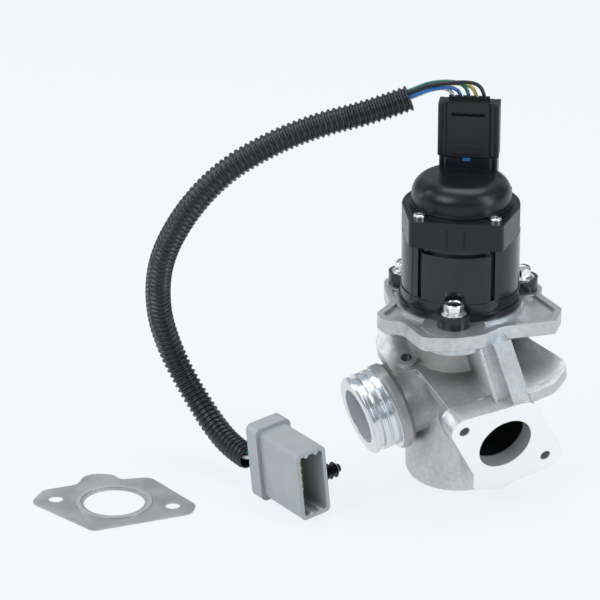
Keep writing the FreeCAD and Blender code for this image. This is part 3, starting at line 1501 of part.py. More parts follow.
def main():
    os.makedirs("parts", exist_ok=True)
    shapes = {name: make() for name, make in PIECES.items()}
    for index, name in enumerate(WIRE_NAMES):
        shapes[name] = upper_wire(index, name)
    for name, shape in shapes.items():
        if not shape.isValid():
            print("not valid:", name)
        shape.exportStep(f"parts/{name}.step")


main()
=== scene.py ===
import math

import bmesh
import bpy
import numpy as np
from mathutils import Matrix, Vector


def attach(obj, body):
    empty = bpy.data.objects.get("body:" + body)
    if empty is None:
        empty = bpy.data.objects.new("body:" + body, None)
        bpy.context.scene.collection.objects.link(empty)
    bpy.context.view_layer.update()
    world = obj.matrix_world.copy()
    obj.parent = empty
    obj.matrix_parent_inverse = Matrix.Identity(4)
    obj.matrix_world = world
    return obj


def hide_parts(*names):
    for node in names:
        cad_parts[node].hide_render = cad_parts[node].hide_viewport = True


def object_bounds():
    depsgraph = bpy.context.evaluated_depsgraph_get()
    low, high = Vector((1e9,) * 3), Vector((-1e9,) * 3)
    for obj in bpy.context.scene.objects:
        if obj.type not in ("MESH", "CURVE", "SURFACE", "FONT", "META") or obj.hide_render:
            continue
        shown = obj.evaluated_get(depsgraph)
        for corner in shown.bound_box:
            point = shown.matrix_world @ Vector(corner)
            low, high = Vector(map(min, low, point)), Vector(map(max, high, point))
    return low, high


# Exhaust gas recirculation valve with its harness and port gasket, in metres.
# Z runs up the actuator axis, Z = 0 is the foot of the casting, the front ear is on -Y.

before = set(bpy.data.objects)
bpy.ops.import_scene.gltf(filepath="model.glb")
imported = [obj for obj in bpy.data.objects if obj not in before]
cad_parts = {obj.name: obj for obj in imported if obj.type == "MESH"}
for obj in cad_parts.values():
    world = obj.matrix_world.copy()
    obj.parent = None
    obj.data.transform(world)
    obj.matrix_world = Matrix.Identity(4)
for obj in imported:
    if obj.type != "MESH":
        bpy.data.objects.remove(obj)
cad_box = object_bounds()
scene = bpy.context.scene

MM = 0.001
BODY = "valve_unit"
UP = Vector((0.0, 0.0, 1.0))
WHITE_LIGHT = (1.0, 1.0, 1.0)

# Axes of the two ports and the tilted plate
FLANGE_OUT = Vector((0.5479, -0.7825, -0.2957))
FLANGE_FACE = Vector((24.66, -35.21, 32.89)) * MM
SPIGOT_OUT = Vector((-0.8395, -0.4750, -0.2639))
SPIGOT_FACE = Vector((-43.32, -24.51, 37.58)) * MM
CHAMBER_FOOT = Vector((0.0, 0.0, 0.0))
PLATE_UP = SPIGOT_OUT.cross(FLANGE_OUT).normalized()
PLATE_MIDDLE = Vector((0.0, 0.0, 72.0)) * MM

# Second rib of the gusset and the web beside it, in millimetres: outlines along the flange's
# axis and up from the plate, and the span of each across them
WEB_OUTLINE = ((8.0, -3.0), (46.6, -3.0), (45.4, -0.4), (33.6, 22.6), (10.0, 15.0))
WEB_SPAN = (-5.6, 0.6)
RIB_OUTLINE = ((8.0, -3.0), (48.4, -3.0), (47.2, -0.6), (35.6, 23.2), (10.0, 15.0))
RIB_SPAN = (-7.2, -5.4)
GUSSET_ROUND = 0.45 * MM
GUSSET_ROUND_STEPS = 3

# Joining and shading of surfaces, angles in degrees
WELD_DISTANCE = 1e-6
SMOOTH_ANGLE = 32.0
WIRE_ENDS_SMOOTH_ANGLE = 40.0
CONDUIT_SMOOTH_ANGLE = 50.0

# Harness: lengths without MM are in millimetres, CONDUIT_LENGTH in metres, angles in degrees
WIRE_R = 0.85 * MM
WIRE_Y = 13.4
WIRE_FOOT_Z = 174.5
WIRE_CENTRE_X = 1.9
WIRE_PITCH = 3.5
BUNDLE_R = 1.75
BUNDLE_LIFT = 1.5
BUNDLE_ANGLES = (-90.0, 198.0, 54.0, -18.0, 126.0)
WIRE_GATE = 2.6
WIRE_ROUND_STEPS = 6
WIRE_RISES = (181.9, 182.2, 182.9, 182.5, 183.4)
WIRE_ARCHES = (
    ((-9.6, 13.0, 184.8), (-16.2, 9.2, 184.4)),
    ((-6.6, 11.7, 186.0), (-15.8, 7.4, 185.6)),
    ((-3.2, 13.7, 187.9), (-15.6, 10.6, 188.0)),
    ((0.2, 16.3, 186.3), (-15.6, 12.2, 186.0)),
    ((3.3, 12.0, 189.0), (-15.6, 8.0, 187.6)),
)
WIRE_NAMES = ("white", "blue", "green", "yellow", "black")
CONDUIT_R = 5.9 * MM
CONDUIT_VALLEY_R = 4.95 * MM
CONDUIT_BORE_R = 4.6 * MM
CONDUIT_LIP = 0.25 * MM
CONDUIT_MOUTH_DEPTH = 9.0 * MM
CONDUIT_PITCH = 2.6 * MM
CONDUIT_RINGS_PER_PITCH = 8
CONDUIT_SIDES = 36
CONDUIT_SQUARENESS = 2.4
CURVE_ORDER = 3
CURVE_STEPS = 24
CONDUIT_POINTS = (
    (-24.4, 5.6, 181.8),
    (-41.5, 2.4, 175.4),
    (-63.5, -1.7, 170.2),
    (-85.5, -5.6, 161.4),
    (-107.5, -9.2, 147.6),
    (-125.0, -9.8, 126.8),
    (-137.6, -4.0, 100.6),
    (-140.5, 6.2, 72.0),
    (-134.7, 9.4, 49.6),
    (-126.0, 6.3, 34.5),
    (-119.2, 2.0, 25.8),
    (-112.8, -3.5, 19.3),
    (-106.5, -9.4, 15.0),
    (-100.3, -15.1, 12.7),
    (-94.5, -20.3, 11.9),
)


# Camera, floor and light

CAMERA_PLACE = (0.14074, -1.6699, 0.79787)
CAMERA_FORWARD = (-0.1170, 0.9130, -0.3907)
CAMERA_LENS = 240.0
CAMERA_SENSOR = 36.0
CAMERA_FAR = 50.0
FLOOR_SIZE = 8.0
FLOOR_DROP = 0.0002
FLOOR_COLOUR = (0.895, 0.925, 0.95, 1.0)
FLOOR_ROUGHNESS = 0.9
FLOOR_GLOW = 0.9
ROOM_LOW_COLOUR = (0.13, 0.145, 0.17, 1.0)
ROOM_HIGH_COLOUR = (0.80, 0.87, 0.95, 1.0)
ROOM_HEIGHTS = (-0.1, 0.55)
ROOM_DEPTHS = (0.15, 0.75)
ROOM_PATCH_COLOUR = (0.06, 0.06, 0.062, 1.0)
ROOM_PATCH_SCALE = 2.2
ROOM_PATCH_DETAIL = 1.0
ROOM_PATCH_EDGES = (0.42, 0.56)
ROOM_PATCH_LEAST = 0.25
ROOM_STRENGTH = 0.7
LAMP_TARGET = Vector((-0.03, -0.01, 0.08))
# Name, place, size, watts and colour of each lamp
LAMPS = (
    ("key", (-0.75, -0.95, 1.05), (0.9, 0.7), 9.0, WHITE_LIGHT),
    ("right_strip", (0.95, -0.35, 0.5), (0.3, 1.0), 5.0, (0.86, 0.94, 1.0)),
    ("top", (0.05, 0.25, 1.3), (1.0, 0.7), 7.0, WHITE_LIGHT),
    ("left_strip", (-1.05, 0.15, 0.5), (0.3, 0.9), 3.5, (0.95, 0.98, 1.0)),
)


def make_camera():
    data = bpy.data.cameras.new("camera")
    data.lens = CAMERA_LENS
    data.sensor_width = CAMERA_SENSOR
    data.clip_end = CAMERA_FAR
    camera = bpy.data.objects.new("camera", data)
    scene.collection.objects.link(camera)
    camera.location = CAMERA_PLACE
    camera.rotation_euler = Vector(CAMERA_FORWARD).to_track_quat("-Z", "Y").to_euler()
    scene.camera = camera


def greater(tree, first, second):
    """The greater of two sockets."""
    node = tree.nodes.new("ShaderNodeMath")
    node.operation = "MAXIMUM"
    tree.links.new(first, node.inputs[0])
    tree.links.new(second, node.inputs[1])
    return node.outputs[0]


def smooth_ramp(tree, value, ends, least=0.0):
    """Rises smoothly from least to one while the value goes from end to end."""
    ramp = tree.nodes.new("ShaderNodeMapRange")
    ramp.interpolation_type = "SMOOTHSTEP"
    ramp.inputs["From Min"].default_value = ends[0]
    ramp.inputs["From Max"].default_value = ends[1]
    ramp.inputs["To Min"].default_value = least
    tree.links.new(value, ramp.inputs["Value"])
    return ramp.outputs[0]


def colour_between(tree, factor, low, high):
    """Colour from low to high with the factor; either is a colour or a socket."""
    mix = tree.nodes.new("ShaderNodeMix")
    mix.data_type = "RGBA"
    tree.links.new(factor, mix.inputs[0])
    for key, colour in ((6, low), (7, high)):
        if isinstance(colour, tuple):
            mix.inputs[key].default_value = colour
        else:
            tree.links.new(colour, mix.inputs[key])
    return mix.outputs[2]


def seen_ray(tree):
    """One where a camera, glossy or transmission ray looks, zero for all others."""
    path = tree.nodes.new("ShaderNodeLightPath")
    seen = path.outputs["Is Camera Ray"]
    for name in ("Is Glossy Ray", "Is Transmission Ray"):
        seen = greater(tree, seen, path.outputs[name])
    return seen


def make_floor():
    bpy.ops.object.select_all(action="DESELECT")
    bpy.ops.mesh.primitive_plane_add(size=FLOOR_SIZE)
    floor = bpy.context.object
    floor.name = "studio_floor"
    floor.location.z = cad_box[0][2] - FLOOR_DROP
    material = bpy.data.materials.new("studio_floor")
    material.use_nodes = True
    tree = material.node_tree
    shader = tree.nodes["Principled BSDF"]
    shader.inputs["Base Color"].default_value = FLOOR_COLOUR
    shader.inputs["Roughness"].default_value = FLOOR_ROUGHNESS
    glow = tree.nodes.new("ShaderNodeEmission")
    glow.inputs["Color"].default_value = FLOOR_COLOUR
    scaled = tree.nodes.new("ShaderNodeMath")
    scaled.operation = "MULTIPLY"
    scaled.inputs[1].default_value = FLOOR_GLOW
    tree.links.new(seen_ray(tree), scaled.inputs[0])
    mix = tree.nodes.new("ShaderNodeMixShader")
    tree.links.new(scaled.outputs[0], mix.inputs["Fac"])
    tree.links.new(shader.outputs[0], mix.inputs[1])
    tree.links.new(glow.outputs[0], mix.inputs[2])
    tree.links.new(mix.outputs[0], tree.nodes["Material Output"].inputs["Surface"])
    floor.data.materials.append(material)


def make_world():
    """Pale room, dark low down in front and bright above and behind. Dark patches all
    round it give the metal its contrast."""
    world = bpy.data.worlds.new("studio")
    world.use_nodes = True
    scene.world = world
    tree = world.node_tree
    direction = tree.nodes.new("ShaderNodeTexCoord").outputs["Generated"]
    apart = tree.nodes.new("ShaderNodeSeparateXYZ")
    tree.links.new(direction, apart.inputs[0])
    above = smooth_ramp(tree, apart.outputs["Z"], ROOM_HEIGHTS)
    behind = smooth_ramp(tree, apart.outputs["Y"], ROOM_DEPTHS)
    room = colour_between(tree, greater(tree, above, behind), ROOM_LOW_COLOUR,
                          ROOM_HIGH_COLOUR)
    patches = tree.nodes.new("ShaderNodeTexNoise")
    patches.inputs["Scale"].default_value = ROOM_PATCH_SCALE
    patches.inputs["Detail"].default_value = ROOM_PATCH_DETAIL
    tree.links.new(direction, patches.inputs["Vector"])
    clear = smooth_ramp(tree, patches.outputs["Fac"], ROOM_PATCH_EDGES, ROOM_PATCH_LEAST)
    patched = colour_between(tree, clear, ROOM_PATCH_COLOUR, room)
    background = tree.nodes["Background"]
    tree.links.new(patched, background.inputs["Color"])
    background.inputs["Strength"].default_value = ROOM_STRENGTH


def make_lamp(name, place, size, watts, colour):
    data = bpy.data.lights.new(name, "AREA")
    data.shape = "RECTANGLE"
    data.size = size[0]
    data.size_y = size[1]
    data.energy = watts
    data.color = colour
    lamp = bpy.data.objects.new(name, data)
    scene.collection.objects.link(lamp)
    lamp.location = place
    aim = LAMP_TARGET - Vector(place)
    lamp.rotation_euler = aim.to_track_quat("-Z", "Y").to_euler()


# Finishes: small classes that turn Python expressions into shader nodes

COAT_ROUGHNESS = 0.12
EDGE_SAMPLES = 6


class Field:
    """A value that varies over a surface."""

    def __init__(self, finish, socket):
        self.finish = finish
        self.socket = socket

    def math(self, operation, other):
        return self.finish.add("ShaderNodeMath", {"operation": operation}, {0: self, 1: other})

    def __add__(self, other):
        return self.math("ADD", other)

    __radd__ = __add__

    def __mul__(self, other):
        return self.math("MULTIPLY", other)

    def __sub__(self, other):
        return self.math("SUBTRACT", other)

    def __rsub__(self, other):
        return self.finish.add("ShaderNodeMath", {"operation": "SUBTRACT"}, {0: other, 1: self})

    def step(self, low, high):
        """Zero below low, one above high, smooth between."""
        settings = {"interpolation_type": "SMOOTHSTEP"}
        values = {"Value": self, "From Min": low, "From Max": high}
        return self.finish.add("ShaderNodeMapRange", settings, values)

    def most(self, other):
        return self.math("MAXIMUM", other)


class Finish:
    """One surface finish with a principled shader."""

    def __init__(self, name, colour, roughness, metallic=0.0, specular=0.5, coat=0.0,
                 edge=0.0003):
        self.material = bpy.data.materials.new(name)
        self.material.use_nodes = True
        self.tree = self.material.node_tree
        self.shader = self.tree.nodes["Principled BSDF"]
        self.colour = (*colour, 1.0)
        self.shader.inputs["Base Color"].default_value = self.colour
        self.shader.inputs["Roughness"].default_value = roughness
        self.shader.inputs["Metallic"].default_value = metallic
        self.shader.inputs["Specular IOR Level"].default_value = specular
        self.shader.inputs["Coat Weight"].default_value = coat
        self.shader.inputs["Coat Roughness"].default_value = COAT_ROUGHNESS
        self.place = self.add("ShaderNodeTexCoord", {}, {}, "Object")
        self.normal = None
        if edge:
            self.normal = self.add("ShaderNodeBevel", {"samples": EDGE_SAMPLES},
                                   {"Radius": edge})

    def add(self, kind, settings, values, output=0):
        node = self.tree.nodes.new(kind)
        for key, value in settings.items():
            setattr(node, key, value)
        for key, value in values.items():
            if isinstance(value, Field):
                self.tree.links.new(value.socket, node.inputs[key])
            else:
                node.inputs[key].default_value = value
        return Field(self, node.outputs[output])

    def noise(self, scale, detail=3.0, roughness=0.55, place=None):
        values = {"Vector": place or self.place, "Scale": scale, "Detail": detail,
                  "Roughness": roughness}
        return self.add("ShaderNodeTexNoise", {}, values, "Fac")

    def vector(self, operation, values, output="Vector"):
        return self.add("ShaderNodeVectorMath", {"operation": operation}, values, output)

    def from_point(self, origin):
        return self.vector("SUBTRACT", {0: self.place, 1: tuple(origin)})

    def along(self, direction, origin):
        """Distance from a point along a direction."""
        values = {0: self.from_point(origin), 1: tuple(direction)}
        return self.vector("DOT_PRODUCT", values, "Value")

    def from_axis(self, direction, origin):
        """Distance from an axis."""
        values = {0: self.from_point(origin), 1: tuple(direction)}
        return self.vector("LENGTH", {0: self.vector("CROSS_PRODUCT", values)}, "Value")

    def stretched(self, scale):
        values = {"Vector": self.place, "Scale": scale}
        return self.add("ShaderNodeMapping", {}, values)

    def blend(self, mask, low, high):
        """Colour that goes from low to high with the mask; either may be a Field."""
        values = {0: mask}
        for key, colour in ((6, low), (7, high)):
            values[key] = colour if isinstance(colour, Field) else (*colour, 1.0)
        return self.add("ShaderNodeMix", {"data_type": "RGBA"}, values, 2)

    def bump(self, height, distance, strength=1.0):
        values = {"Height": height, "Distance": distance, "Strength": strength}
        if self.normal is not None:
            values["Normal"] = self.normal
        self.normal = self.add("ShaderNodeBump", {}, values)

    def feed(self, name, field):
        self.tree.links.new(field.socket, self.shader.inputs[name])

    def done(self, colour=None, roughness=None, metallic=None):
        if colour is not None:
            self.feed("Base Color", colour)
        if roughness is not None:
            self.feed("Roughness", roughness)
        if metallic is not None:
            self.feed("Metallic", metallic)
        if self.normal is not None:
            self.feed("Normal", self.normal)
        return self.material


# Looks of the casting: distances behind a port's face, up the chamber or from an axis, metres
FACE_DEPTHS = (-0.00025, -0.0001)
FLANGE_BORE_R = 0.01335
FLANGE_BORE_DEPTHS = (-0.023, -0.021)
# Painted shade: the flange's bore is painted near black from UNLIT_FRONT back to
# UNLIT_BACK_DEPTHS
UNLIT_R = 0.0134
UNLIT_FRONT = -0.0072
UNLIT_FRONT_FADE = 0.0008
UNLIT_BACK_DEPTHS = (-0.0595, -0.0575)
SPIGOT_TURNED_DEPTHS = (-0.0131, -0.0129)
SPIGOT_BORE_R = 0.0132
SPIGOT_BORE_FADE = 0.0002
SPIGOT_BORE_DEPTHS = (-0.030, -0.028)
BORE_FADE = 0.0001
# Painted shade: the spigot's neck and the chamber's waist under the plates are darkened towards
# CAST_SHADE
NECK_DEPTHS = (-0.036, -0.018)
NECK_R = 0.0235
WAIST_HEIGHTS = (0.046, 0.056)
WAIST_TOP = 0.083
WAIST_R = 0.029
WAIST_INSIDE = -0.006
SHADE_FADE = 0.004
SHADE_STRENGTH = 0.75
CAST_ROUGHNESS = 0.37
CAST_METALLIC = 0.8
MACHINED_ROUGHNESS = 0.22
CAST_GREY = (0.545, 0.55, 0.55)
CAST_PALE = (0.66, 0.69, 0.715)
CAST_SPECK = (0.40, 0.39, 0.375)
CAST_SHADE = (0.27, 0.262, 0.25)
TURNED_COLOUR = (0.72, 0.745, 0.77)
FACE_COLOUR = (0.93, 0.935, 0.94)
# Colour of the painted shade deep in the flange's bore
UNLIT_COLOUR = (0.02, 0.02, 0.022)

# Looks of the gasket
BEAD_HEIGHTS = (0.0009, 0.0013)
SHEET_ROUGHNESS = 0.42
SHEET_GREY = (0.36, 0.365, 0.37)
SHEET_PALE = (0.50, 0.505, 0.505)
BEAD_COLOUR = (0.62, 0.62, 0.62)


def cast_skin_and_shade(finish, fine, reach, radius):
    """Mottled colour of the cast skin, darkened by painted shade round the spigot's neck and the
    waist under the plates.
    """
    tone = finish.noise(scale=38.0)
    skin = finish.blend(tone.step(0.32, 0.68), CAST_GREY, CAST_PALE)
    skin = finish.blend(fine.step(0.35, 0.7) * 0.4, skin, CAST_SPECK)
    # Painted shade in the recesses round the spigot's neck and the waist
    neck = reach.step(*NECK_DEPTHS) * (NECK_R - radius).step(0.0, SHADE_FADE)
    height = finish.along(UP, CHAMBER_FOOT)
    waist = height.step(*WAIST_HEIGHTS) * (WAIST_TOP - height).step(0.0, SHADE_FADE)
    core = (WAIST_R - finish.from_axis(UP, CHAMBER_FOOT)).step(WAIST_INSIDE, SHADE_FADE)
    return finish.blend(neck.most(waist * core) * SHADE_STRENGTH, skin, CAST_SHADE)


def cast_aluminium():
    """Sand-fine cast skin with a milled flange face, a turned spigot and machined bores, painted
    shade in the recesses and near-black painted shade deep in the flange's bore.
    """
    finish = Finish("cast_aluminium", (0.74, 0.74, 0.73), 0.45, metallic=CAST_METALLIC,
                    edge=0.0005)
    fine = finish.noise(scale=420.0, detail=4.0, roughness=0.65)
    grain = finish.noise(scale=1500.0, detail=2.0, roughness=0.6)
    depth = finish.along(FLANGE_OUT, FLANGE_FACE)
    across = finish.from_axis(FLANGE_OUT, FLANGE_FACE)
    reach = finish.along(SPIGOT_OUT, SPIGOT_FACE)
    radius = finish.from_axis(SPIGOT_OUT, SPIGOT_FACE)
    face = depth.step(*FACE_DEPTHS)
    flange_bore = (FLANGE_BORE_R - across).step(0.0, BORE_FADE)
    turned = reach.step(*SPIGOT_TURNED_DEPTHS)
    bore = (SPIGOT_BORE_R - radius).step(0.0, SPIGOT_BORE_FADE) * reach.step(*SPIGOT_BORE_DEPTHS)
    machined = face.most(turned).most(bore).most(flange_bore * depth.step(*FLANGE_BORE_DEPTHS))
    rings = finish.add("ShaderNodeTexNoise", {"noise_dimensions": "1D"},
                       {"W": reach, "Scale": 1600.0, "Detail": 2.0}, "Fac")
    mill = finish.noise(scale=700.0, detail=2.0, place=finish.stretched((1.0, 0.08, 1.0)))
    bright = finish.blend(face, TURNED_COLOUR, FACE_COLOUR)
    colour = finish.blend(machined, cast_skin_and_shade(finish, fine, reach, radius), bright)
    # Painted shade: near black deep inside the flange's bore
    unlit = ((UNLIT_R - across).step(0.0, BORE_FADE)
             * (UNLIT_FRONT - depth).step(0.0, UNLIT_FRONT_FADE)
             * depth.step(*UNLIT_BACK_DEPTHS))
    colour = finish.blend(unlit, colour, UNLIT_COLOUR)
    rough_skin = CAST_ROUGHNESS + (fine - 0.5) * 0.25
    rough_machined = (MACHINED_ROUGHNESS + face * 0.2 + (mill - 0.5) * 0.08
                      + (rings - 0.5) * 0.12)
    roughness = rough_skin * (1.0 - machined) + rough_machined * machined
    finish.bump((grain * 0.6 + fine) * (1.0 - machined), distance=0.00022, strength=0.7)
    finish.bump(rings * turned + mill * face, distance=0.00002, strength=0.35)
    metallic = CAST_METALLIC + machined * 0.12 - face * 0.25 - bore.most(flange_bore) * 0.4
    return finish.done(colour, roughness, metallic)


def black_plastic(name="black_plastic", colour=(0.006, 0.007, 0.009), rough=0.3, coat=0.0,
                  grain_depth=0.00006):
    """Glass-filled moulding with faint flow marks and a fine skin."""
    finish = Finish(name, colour, rough, coat=coat, specular=0.36, edge=0.0004)
    flow = finish.noise(scale=55.0, place=finish.stretched((1.0, 1.0, 0.35)))
    grain = finish.noise(scale=1300.0, roughness=0.6)
    light = tuple(value * 1.8 + 0.002 for value in colour)
    tone = finish.blend(flow.step(0.35, 0.7) * 0.6, colour, light)
    roughness = rough + (flow - 0.5) * 0.16 + (grain - 0.5) * 0.1
    finish.bump(grain, distance=grain_depth, strength=0.5)
    return finish.done(tone, roughness)


def plated_steel(name, colour, rough, edge=0.0002):
    """Bright plated steel with handling marks."""
    finish = Finish(name, colour, rough, metallic=1.0, edge=edge)
    blotch = finish.noise(scale=260.0)
    scratch = finish.noise(scale=900.0, place=finish.stretched((1.0, 0.12, 1.0)))
    dull = tuple(value * 0.8 for value in colour)
    tone = finish.blend(blotch.step(0.4, 0.7) * 0.5, colour, dull)
    finish.bump(scratch, distance=0.00003, strength=0.4)
    return finish.done(tone, rough + (blotch - 0.5) * 0.18)


def smooth_plastic(name, colour, rough=0.38):
    """Plain moulding with slight mottle and skin."""
    finish = Finish(name, colour, rough, edge=0.0004)
    mottle = finish.noise(scale=120.0)
    grain = finish.noise(scale=1100.0)
    shade = tuple(value * 0.93 for value in colour)
    tone = finish.blend(mottle.step(0.35, 0.7), colour, shade)
    finish.bump(grain, distance=0.00005, strength=0.45)
    return finish.done(tone, rough + (mottle - 0.5) * 0.15)


def rubber(name, colour, rough=0.6):
    """Moulded rubber with a pale bloom."""
    finish = Finish(name, colour, rough, specular=0.35, edge=0.0002)
    bloom = finish.noise(scale=200.0, detail=4.0)
    pale = tuple(min(1.0, value * 1.25 + 0.01) for value in colour)
    tone = finish.blend(bloom.step(0.4, 0.75) * 0.7, colour, pale)
    finish.bump(finish.noise(scale=1600.0, detail=2.0), distance=0.00006, strength=0.5)
    return finish.done(tone, rough + (bloom - 0.5) * 0.2)


def sheet_steel():
    """Coated gasket sheet, slightly blotched, with a rubbed bead."""
    finish = Finish("gasket_steel", (0.33, 0.34, 0.36), SHEET_ROUGHNESS, metallic=0.65)
    cloud = finish.noise(scale=60.0, detail=4.0)
    speck = finish.noise(scale=900.0, roughness=0.7)
    tone = finish.blend(cloud.step(0.3, 0.7), SHEET_GREY, SHEET_PALE)
    bead = finish.along(UP, CHAMBER_FOOT).step(*BEAD_HEIGHTS)
    tone = finish.blend(bead * 0.6, tone, BEAD_COLOUR)
    finish.bump(speck, distance=0.00006, strength=0.6)
    return finish.done(tone, SHEET_ROUGHNESS + (cloud - 0.5) * 0.2 - bead * 0.08)


def insulation(name, colour, rough=0.34):
    """Extruded wire insulation with faint draw lines."""
    finish = Finish(name, colour, rough, edge=0.0)
    line = finish.noise(scale=420.0, detail=2.0)
    shade = tuple(value * 0.78 for value in colour)
    tone = finish.blend(line.step(0.3, 0.7), colour, shade)
    finish.bump(finish.noise(scale=1800.0, detail=2.0), distance=0.00003, strength=0.4)
    return finish.done(tone, rough + (line - 0.5) * 0.16)


WIRE_COLOURS = {
    "white": (0.80, 0.82, 0.82), "blue": (0.02, 0.14, 0.42), "green": (0.01, 0.16, 0.13),
    "yellow": (0.62, 0.47, 0.07), "black": (0.012, 0.012, 0.014),
}


def make_finishes():
    finishes = {
        "cast_aluminium": cast_aluminium(),
        "stainless_steel": plated_steel("stainless_steel", (0.62, 0.61, 0.59), 0.3),
        "spring_steel": plated_steel("spring_steel", (0.42, 0.42, 0.43), 0.32, edge=0.0),
        "zinc_steel": plated_steel("zinc_steel", (0.86, 0.87, 0.87), 0.2),
        "soft_iron": plated_steel("soft_iron", (0.38, 0.38, 0.39), 0.42),
        "bronze": plated_steel("bronze", (0.62, 0.44, 0.22), 0.4),
        "copper": plated_steel("copper", (0.66, 0.28, 0.13), 0.35),
        "tinned_brass": plated_steel("tinned_brass", (0.74, 0.70, 0.58), 0.28),
        "black_rubber": rubber("black_rubber", (0.02, 0.02, 0.02)),
        "black_plastic": black_plastic(),
        "housing_plastic": black_plastic("housing_plastic", (0.006, 0.008, 0.011), 0.2,
                                         coat=0.22, grain_depth=0.00003),
        "plug_plastic": black_plastic("plug_plastic", (0.0075, 0.0075, 0.009), 0.38),
        "natural_plastic": smooth_plastic("natural_plastic", (0.72, 0.68, 0.56)),
        "track_substrate": smooth_plastic("track_substrate", (0.06, 0.12, 0.08)),
        "conduit_plastic": smooth_plastic("conduit_plastic", (0.014, 0.016, 0.021), 0.3),
        "blue_rubber": rubber("blue_rubber", (0.02, 0.16, 0.50)),
        "grey_plastic": smooth_plastic("grey_plastic", (0.355, 0.375, 0.39), 0.42),
        "dark_insert": smooth_plastic("dark_insert", (0.03, 0.03, 0.032), 0.45),
        "yellow_rubber": rubber("yellow_rubber", (0.55, 0.58, 0.04), 0.45),
        "grommet_rubber": rubber("grommet_rubber", (0.10, 0.10, 0.10)),
        "gasket_steel": sheet_steel(),
    }
    for name, colour in WIRE_COLOURS.items():
        finishes[name + "_insulation"] = insulation(name + "_insulation", colour)
    return finishes


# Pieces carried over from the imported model

def give(piece, material):
    piece.data.materials.clear()
    piece.data.materials.append(material)


def welded(node, name):
    """Copy of a node's surface, with its loose triangles joined."""
    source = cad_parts[node]
    mesh = bmesh.new()
    mesh.from_mesh(source.data)
    bmesh.ops.remove_doubles(mesh, verts=mesh.verts, dist=WELD_DISTANCE)
    mesh.verts.index_update()
    points = [vert.co.copy() for vert in mesh.verts]
    faces = [[vert.index for vert in face.verts] for face in mesh.faces]
    mesh.free()
    data = bpy.data.meshes.new(name)
    data.from_pydata(points, [], faces)
    piece = bpy.data.objects.new(name, data)
    scene.collection.objects.link(piece)
    return piece


def smooth(piece, degrees):
    bpy.ops.object.select_all(action="DESELECT")
    piece.select_set(True)
    bpy.context.view_layer.objects.active = piece
    bpy.ops.object.shade_smooth_by_angle(angle=math.radians(degrees))


def dress(node, finish):
    """Smooth copy of a node in its finish, shown in place of the node, which is hidden."""
    piece = welded(node, node + "_skin")
    smooth(piece, SMOOTH_ANGLE)
    give(piece, finishes[finish])
    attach(piece, BODY)
    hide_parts(node)
    return piece


INNER_FINISHES = {
    "seat_ring": "stainless_steel", "poppet_valve": "stainless_steel",
    "guide_plate": "stainless_steel", "guide_bush": "bronze", "stem_seal": "black_rubber",
    "spring_retainer": "stainless_steel", "return_spring": "spring_steel",
    "spring_seat": "stainless_steel", "base_o_ring": "black_rubber",
    "ear_bushes": "zinc_steel", "yoke_cup": "soft_iron", "guide_sleeve": "stainless_steel",
    "coil_bobbin": "natural_plastic", "coil_winding": "copper", "upper_pole": "soft_iron",
    "armature": "soft_iron", "cover_seal": "black_rubber", "sensor_plunger": "natural_plastic",
    "sensor_wiper": "tinned_brass", "sensor_track": "track_substrate",
    "sensor_spring": "spring_steel", "terminal_pins": "tinned_brass",
    "plug_lock": "plug_plastic",
}
OUTER_FINISHES = {
    "valve_casting": "cast_aluminium", "solenoid_housing": "housing_plastic",
    "collar": "black_plastic", "dome_cover": "black_plastic", "ear_bolts": "zinc_steel",
    "cover_screws": "zinc_steel", "plug_body": "plug_plastic", "plug_latch": "plug_plastic",
    "plug_seal": "blue_rubber", "connector_shell": "grey_plastic",
    "connector_collar": "grey_plastic", "connector_grommet": "grommet_rubber",
    "connector_insert": "dark_insert", "connector_pins": "tinned_brass",
    "connector_seal": "yellow_rubber", "fir_tree_clip": "black_plastic",
    "port_gasket": "gasket_steel",
}
LOWER_WIRE_FINISHES = ("black", "yellow", "white", "green", "green")


def moved_outline(name, outline, span, matrix):
    """Plate with an outline and a span, its edges rounded, moved by a matrix."""
    bpy.ops.object.select_all(action="DESELECT")
    bpy.ops.mesh.primitive_circle_add(vertices=len(outline), fill_type="NGON")
    piece = bpy.context.object
    piece.name = name
    for vert, place in zip(piece.data.vertices, outline):
        vert.co = (place[0] * MM, 0.0, place[1] * MM)
    thick = piece.modifiers.new("thick", "SOLIDIFY")
    thick.thickness = (span[1] - span[0]) * MM
    thick.offset = 0.0
    round_off = piece.modifiers.new("round", "BEVEL")
    round_off.width = GUSSET_ROUND
    round_off.segments = GUSSET_ROUND_STEPS
    for modifier in ("thick", "round"):
        bpy.ops.object.modifier_apply(modifier=modifier)
    middle = Vector((0.0, (span[0] + span[1]) / 2.0 * MM, 0.0))
    piece.data.transform(matrix @ Matrix.Translation(middle))
    bpy.ops.object.mode_set(mode="EDIT")
    bpy.ops.mesh.select_all(action="SELECT")
    bpy.ops.mesh.normals_make_consistent(inside=False)
    bpy.ops.object.mode_set(mode="OBJECT")
    smooth(piece, SMOOTH_ANGLE)
    return piece


def add_gusset_rib():
    """Thin rib and recessed web left of the gusset, which the photo shows."""
    across = PLATE_UP.cross(FLANGE_OUT)
    matrix = Matrix((FLANGE_OUT, across, PLATE_UP)).transposed().to_4x4()
    matrix.translation = PLATE_MIDDLE
    for name, outline, span in (("gusset_web", WEB_OUTLINE, WEB_SPAN),
                                ("gusset_rib", RIB_OUTLINE, RIB_SPAN)):
        piece = moved_outline(name, outline, span, matrix)
        give(piece, finishes["cast_aluminium"])
        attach(piece, BODY)


